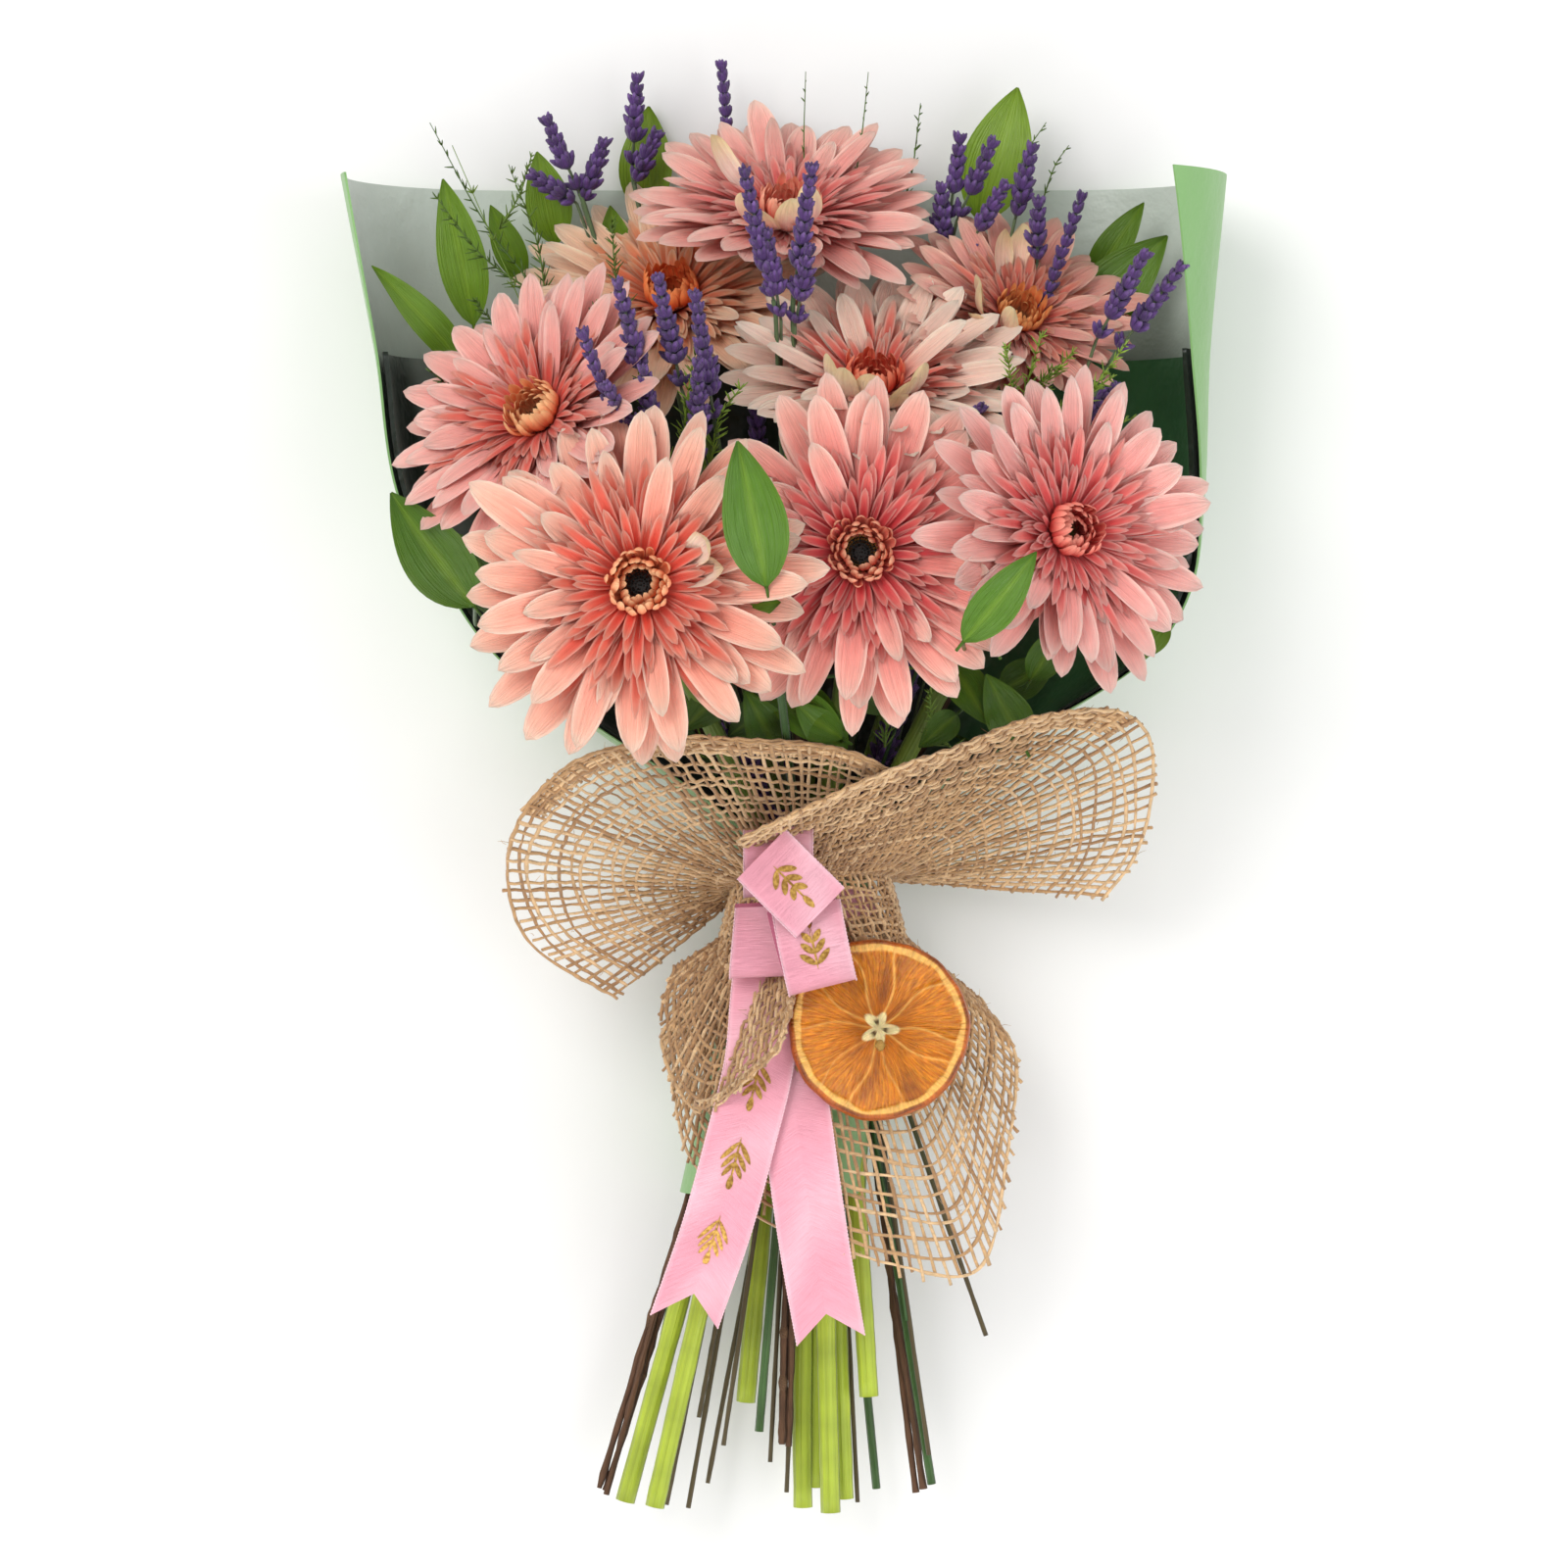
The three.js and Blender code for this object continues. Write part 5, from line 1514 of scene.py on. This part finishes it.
def sprig(b, strip, share):
    """A plain sprig of seven leaves on a short stalk, the printed motif."""
    start = share - 9 / strip.length
    petal_print(b, strip, start, 0.0, math.pi / 2, 18, 0.9)
    for k, along in enumerate((2, 6, 10)):
        for side in (-1, 1):
            angle = math.pi / 2 - side * math.radians(48 - 5 * k)
            petal_print(b, strip, start + along / strip.length, 0.02 * side, angle, 7.0 - 0.9 * k, 2.4)
    petal_print(b, strip, start + 15 / strip.length, 0.0, math.pi / 2, 6, 2.4)


def ribbon_pieces():
    prints = Builder()
    for name, form in STRIPS.items():
        strip = Strip(form["path"], form["across"], form["notch"], form["face"])
        piece = ribbon_strip(f"satin_{name}", strip)
        add(piece, "satin", name)
        for share in form["sprigs"]:
            sprig(prints, strip, share)
    add(prints.build("ribbon_print", [GOLD]), "satin")


ribbon_pieces()

# ---------------------------------------------------------------- the dried orange slice


def dried_orange():
    n = Nodes("dried_orange")
    fibre = n.noise(n.along(150, 7), 1.0, 3.0, 0.6)
    patch = n.noise(n.place(), 210, 3.0)
    tone = n.shade(n.tint(), n.remap(fibre, 0.3, 0.7, 0.74, 1.24))
    n.colour(n.shade(tone, n.remap(patch, 0.3, 0.7, 0.82, 1.12)))
    n.bump(fibre, 0.0012)
    n.set(Roughness=0.36, Subsurface_Weight=0.22, Subsurface_Scale=0.003)
    return n.material


ORANGE = dried_orange()
AMBER, HONEY, BURNT = srgb(188, 100, 4), srgb(232, 154, 24), srgb(122, 54, 4)
PITH, RIND, RIND_DARK = srgb(236, 180, 90), srgb(186, 92, 14), srgb(122, 58, 10)
PALE_CORE, HOLE_SHADE, SEED = srgb(250, 228, 168), srgb(96, 52, 16), srgb(226, 178, 96)
SEGMENTS = 10
RINGS, SPOKES = 64, 480


def segment_walls(r, a):
    """Distance to the nearest wall between segments, how much that wall shows, and the first wall."""
    walls = 2 * math.pi * (np.arange(SEGMENTS) + rng.uniform(-0.16, 0.16, SEGMENTS)) / SEGMENTS
    swerve = 0.09 * np.sin(6 * r[..., None] + 7 * walls)
    gaps = np.abs((a[..., None] - walls - swerve + math.pi) % (2 * math.pi) - math.pi)
    fade = rng.uniform(0.35, 1.0, SEGMENTS)[np.argmin(gaps, axis=-1)]
    return np.min(gaps, axis=-1) * r, fade, walls[0]


def slice_face(r, a, wobble):
    """Colour of the cut face at radius share r and angle a, and how far it sinks, in millimetres."""
    gap, fade, first_wall = segment_walls(r, a)
    wall = np.exp(-((gap / 0.013) ** 2))
    near_wall = np.exp(-((gap / 0.045) ** 2))
    flesh_edge = 0.885 + 0.012 * np.sin(SEGMENTS * a) + 0.5 * wobble
    core = 0.14 + 0.05 * np.cos(5 * (a - first_wall)) + 0.03 * np.sin(3 * a + 2)
    in_core = 1 - smooth((r - core) / 0.03)
    in_rind = smooth((r - 0.955) / 0.02)
    in_pith = smooth((r - flesh_edge) / 0.018) * (1 - in_rind)
    # Painted shade in three small sunken hollows by the core.
    hole = np.exp(-(((r - 0.075) / 0.03) ** 2)) * smooth((np.cos(3 * a + 0.7) - 0.45) / 0.3)
    streak = 0.5 + 0.5 * np.sin(a * 88 + 3 * np.sin(r * 9 + a * 5)) * np.sin(a * 37 + r * 5)
    dark = smooth((np.sin(a * 5 + 1) * np.cos(a * 3 + r * 4) - 0.1) / 0.8)
    colour = AMBER
    for share, over in (
        (0.62 * streak * smooth(r * 1.5), HONEY),
        (0.6 * dark * (1 - near_wall), BURNT),
        (0.8 * wall * fade, PITH),
        (in_core, PALE_CORE),
        (in_pith, PITH),
        (in_rind, lerp(RIND, RIND_DARK, (0.5 + 0.5 * np.sin(a * 9))[..., None])),
        (0.9 * hole, HOLE_SHADE),
    ):
        colour = lerp(colour, over, share[..., None])
    sunk = 0.9 * (1 - near_wall) * (1 - in_core) * (1 - in_pith) * (1 - in_rind) + 1.1 * hole
    return colour, sunk, in_rind


def orange_slice():
    points, _ = node_mesh("orange_slice")
    middle, _, face = principal(points)
    place = frame_to(face, (1, 0, 0))
    away = points - middle
    radius = np.linalg.norm(away - np.outer(away @ face, face), axis=1).max()
    half = np.abs(away @ face).max()
    r, a = np.meshgrid(np.linspace(0, 1, RINGS), full_turn(SPOKES), indexing="ij")
    wobble = 0.018 * np.sin(3 * a + 0.6) + 0.012 * np.sin(7 * a + 1.1) + 0.006 * np.sin(17 * a)
    colour, sunk, in_rind = slice_face(r, a, wobble)
    height = half - (sunk + 0.5 * in_rind * smooth((r - 0.975) / 0.025)) * MM
    out = radius * r * (0.985 + wobble * smooth((r - 0.7) / 0.3) * 0.6)
    top = np.stack([out * np.cos(a), out * np.sin(a), height], axis=-1)
    bottom = top * [1, 1, 0] + np.stack([0 * a, 0 * a, -half + 0.6 * sunk * MM], axis=-1)

    def place_at(grid):
        return grid.reshape(-1, 3) @ place.T + middle

    b = Builder()
    uvs = np.stack([a.ravel() / (2 * math.pi), r.ravel()], axis=1)
    faces = grid_faces(RINGS, SPOKES, around=True)
    b.add(place_at(top), [faces], colour.reshape(-1, 3), uvs)
    # Painted shade: the underside takes the top's colours at 0.8.
    b.add(place_at(bottom), [faces[:, ::-1]], colour.reshape(-1, 3) * 0.8, uvs)
    share = np.linspace(0, 1, 9)[:, None, None]
    bulge = 1 + 0.022 * np.sin(math.pi * share)
    rim = lerp(top[-1], bottom[-1], share) * np.concatenate([bulge, bulge, np.ones_like(bulge)], axis=-1)
    skin = lerp(RIND, RIND_DARK, rng.uniform(0, 0.7, (9, SPOKES, 1)))
    b.add(place_at(rim), [grid_faces(9, SPOKES, around=True)], skin.reshape(-1, 3))
    seed = np.array([[0.01, -0.13], [0.015, -0.19], [0.02, -0.25]]) * radius
    path = np.column_stack([seed, np.full(3, half - 0.1 * MM)])
    tube(b, place_at(path), np.array([0.8, 1.9, 0.7]) * MM, 10, SEED, flat=0.7)
    add(b.build("dried_orange_slice", [ORANGE]), "dried_orange", "orange_slice")


orange_slice()

# ---------------------------------------------------------------- bands kept from the CAD


def dress(node, name, grain_scale, noise, dark, light, bump, **gloss):
    """Gives a CAD node a grained material of its own."""
    n = Nodes(name)
    grain = n.noise(n.place((1, grain_scale, 1)), noise, 2.0)
    n.colour(n.mix(grain, dark, light))
    n.bump(grain, bump)
    n.set(**gloss)
    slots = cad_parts[node].data.materials
    slots.clear()
    slots.append(n.material)


dress("stem_band", "rubber_band", 6, 300, srgb(150, 112, 70), srgb(176, 138, 92), 0.0004, Roughness=0.62)
dress("ribbon_band", "satin_band", 40, 60, PINK * 0.9, PINK, 0.0003, Roughness=0.36, Sheen_Weight=0.25)

# ---------------------------------------------------------------- stage


def look_at(location, aim, up=(0, 1, 0)):
    back = unit(np.subtract(location, aim))
    x = unit(np.cross(up, back)) if abs(unit(up) @ back) < 0.999 else np.array([1.0, 0, 0])
    y = np.cross(back, x)
    m = np.eye(4)
    m[:3, :3] = np.stack([x, y, back], axis=1)
    m[:3, 3] = location
    return Matrix(m.tolist())


def area_light(name, location, aim, size, watts, tint=(1, 1, 1)):
    data = bpy.data.lights.new(name, "AREA")
    data.shape = "SQUARE"
    data.size = size
    data.energy = watts
    data.color = tint
    light = bpy.data.objects.new(name, data)
    light.matrix_world = look_at(location, aim)
    bpy.context.collection.objects.link(light)


low, high = np.array(CAD_BOUNDS[0]), np.array(CAD_BOUNDS[1])
CAMERA_HEIGHT = 2.4
VIEW_WIDTH = 0.56
VIEW_LEVEL = 0.09  # the height at which VIEW_WIDTH is seen


def studio_floor():
    n = Nodes("studio_floor")
    grain = n.remap(n.noise(n.place(), 9, 2.0), 0.3, 0.7, 0, 1)
    n.colour(n.mix(grain, (0.82, 0.82, 0.82), (0.86, 0.86, 0.86)))
    n.set(Roughness=0.7)
    bpy.ops.mesh.primitive_plane_add(size=8, location=(0, 0, low[2] - 0.3 * MM))
    floor = bpy.context.object
    floor.name = "floor"
    floor.data.materials.append(n.material)


studio_floor()
middle = (low + high) / 2
area_light("key", (-1.1, 1.0, 2.0), middle, 1.4, 30, (1, 0.98, 0.95))
area_light("fill", (1.4, -0.4, 1.6), middle, 1.8, 18, (0.98, 0.99, 1))
area_light("front", (-0.2, -1.6, 1.3), middle, 1.6, 15, (1, 0.98, 0.95))

scene = bpy.context.scene
scene.world = bpy.data.worlds.new("studio")
scene.world.use_nodes = True
background = scene.world.node_tree.nodes["Background"].inputs
background["Color"].default_value = (1, 1, 1, 1)
background["Strength"].default_value = 0.66
scene.view_settings.view_transform = "Standard"

camera_data = bpy.data.cameras.new("camera")
camera_data.sensor_width = 36
camera_data.lens = 36 * (CAMERA_HEIGHT - VIEW_LEVEL) / VIEW_WIDTH
camera_data.clip_end = 20
camera = bpy.data.objects.new("camera", camera_data)
camera.matrix_world = look_at((middle[0], middle[1], CAMERA_HEIGHT), (middle[0], middle[1], 0))
bpy.context.collection.objects.link(camera)
scene.camera = camera
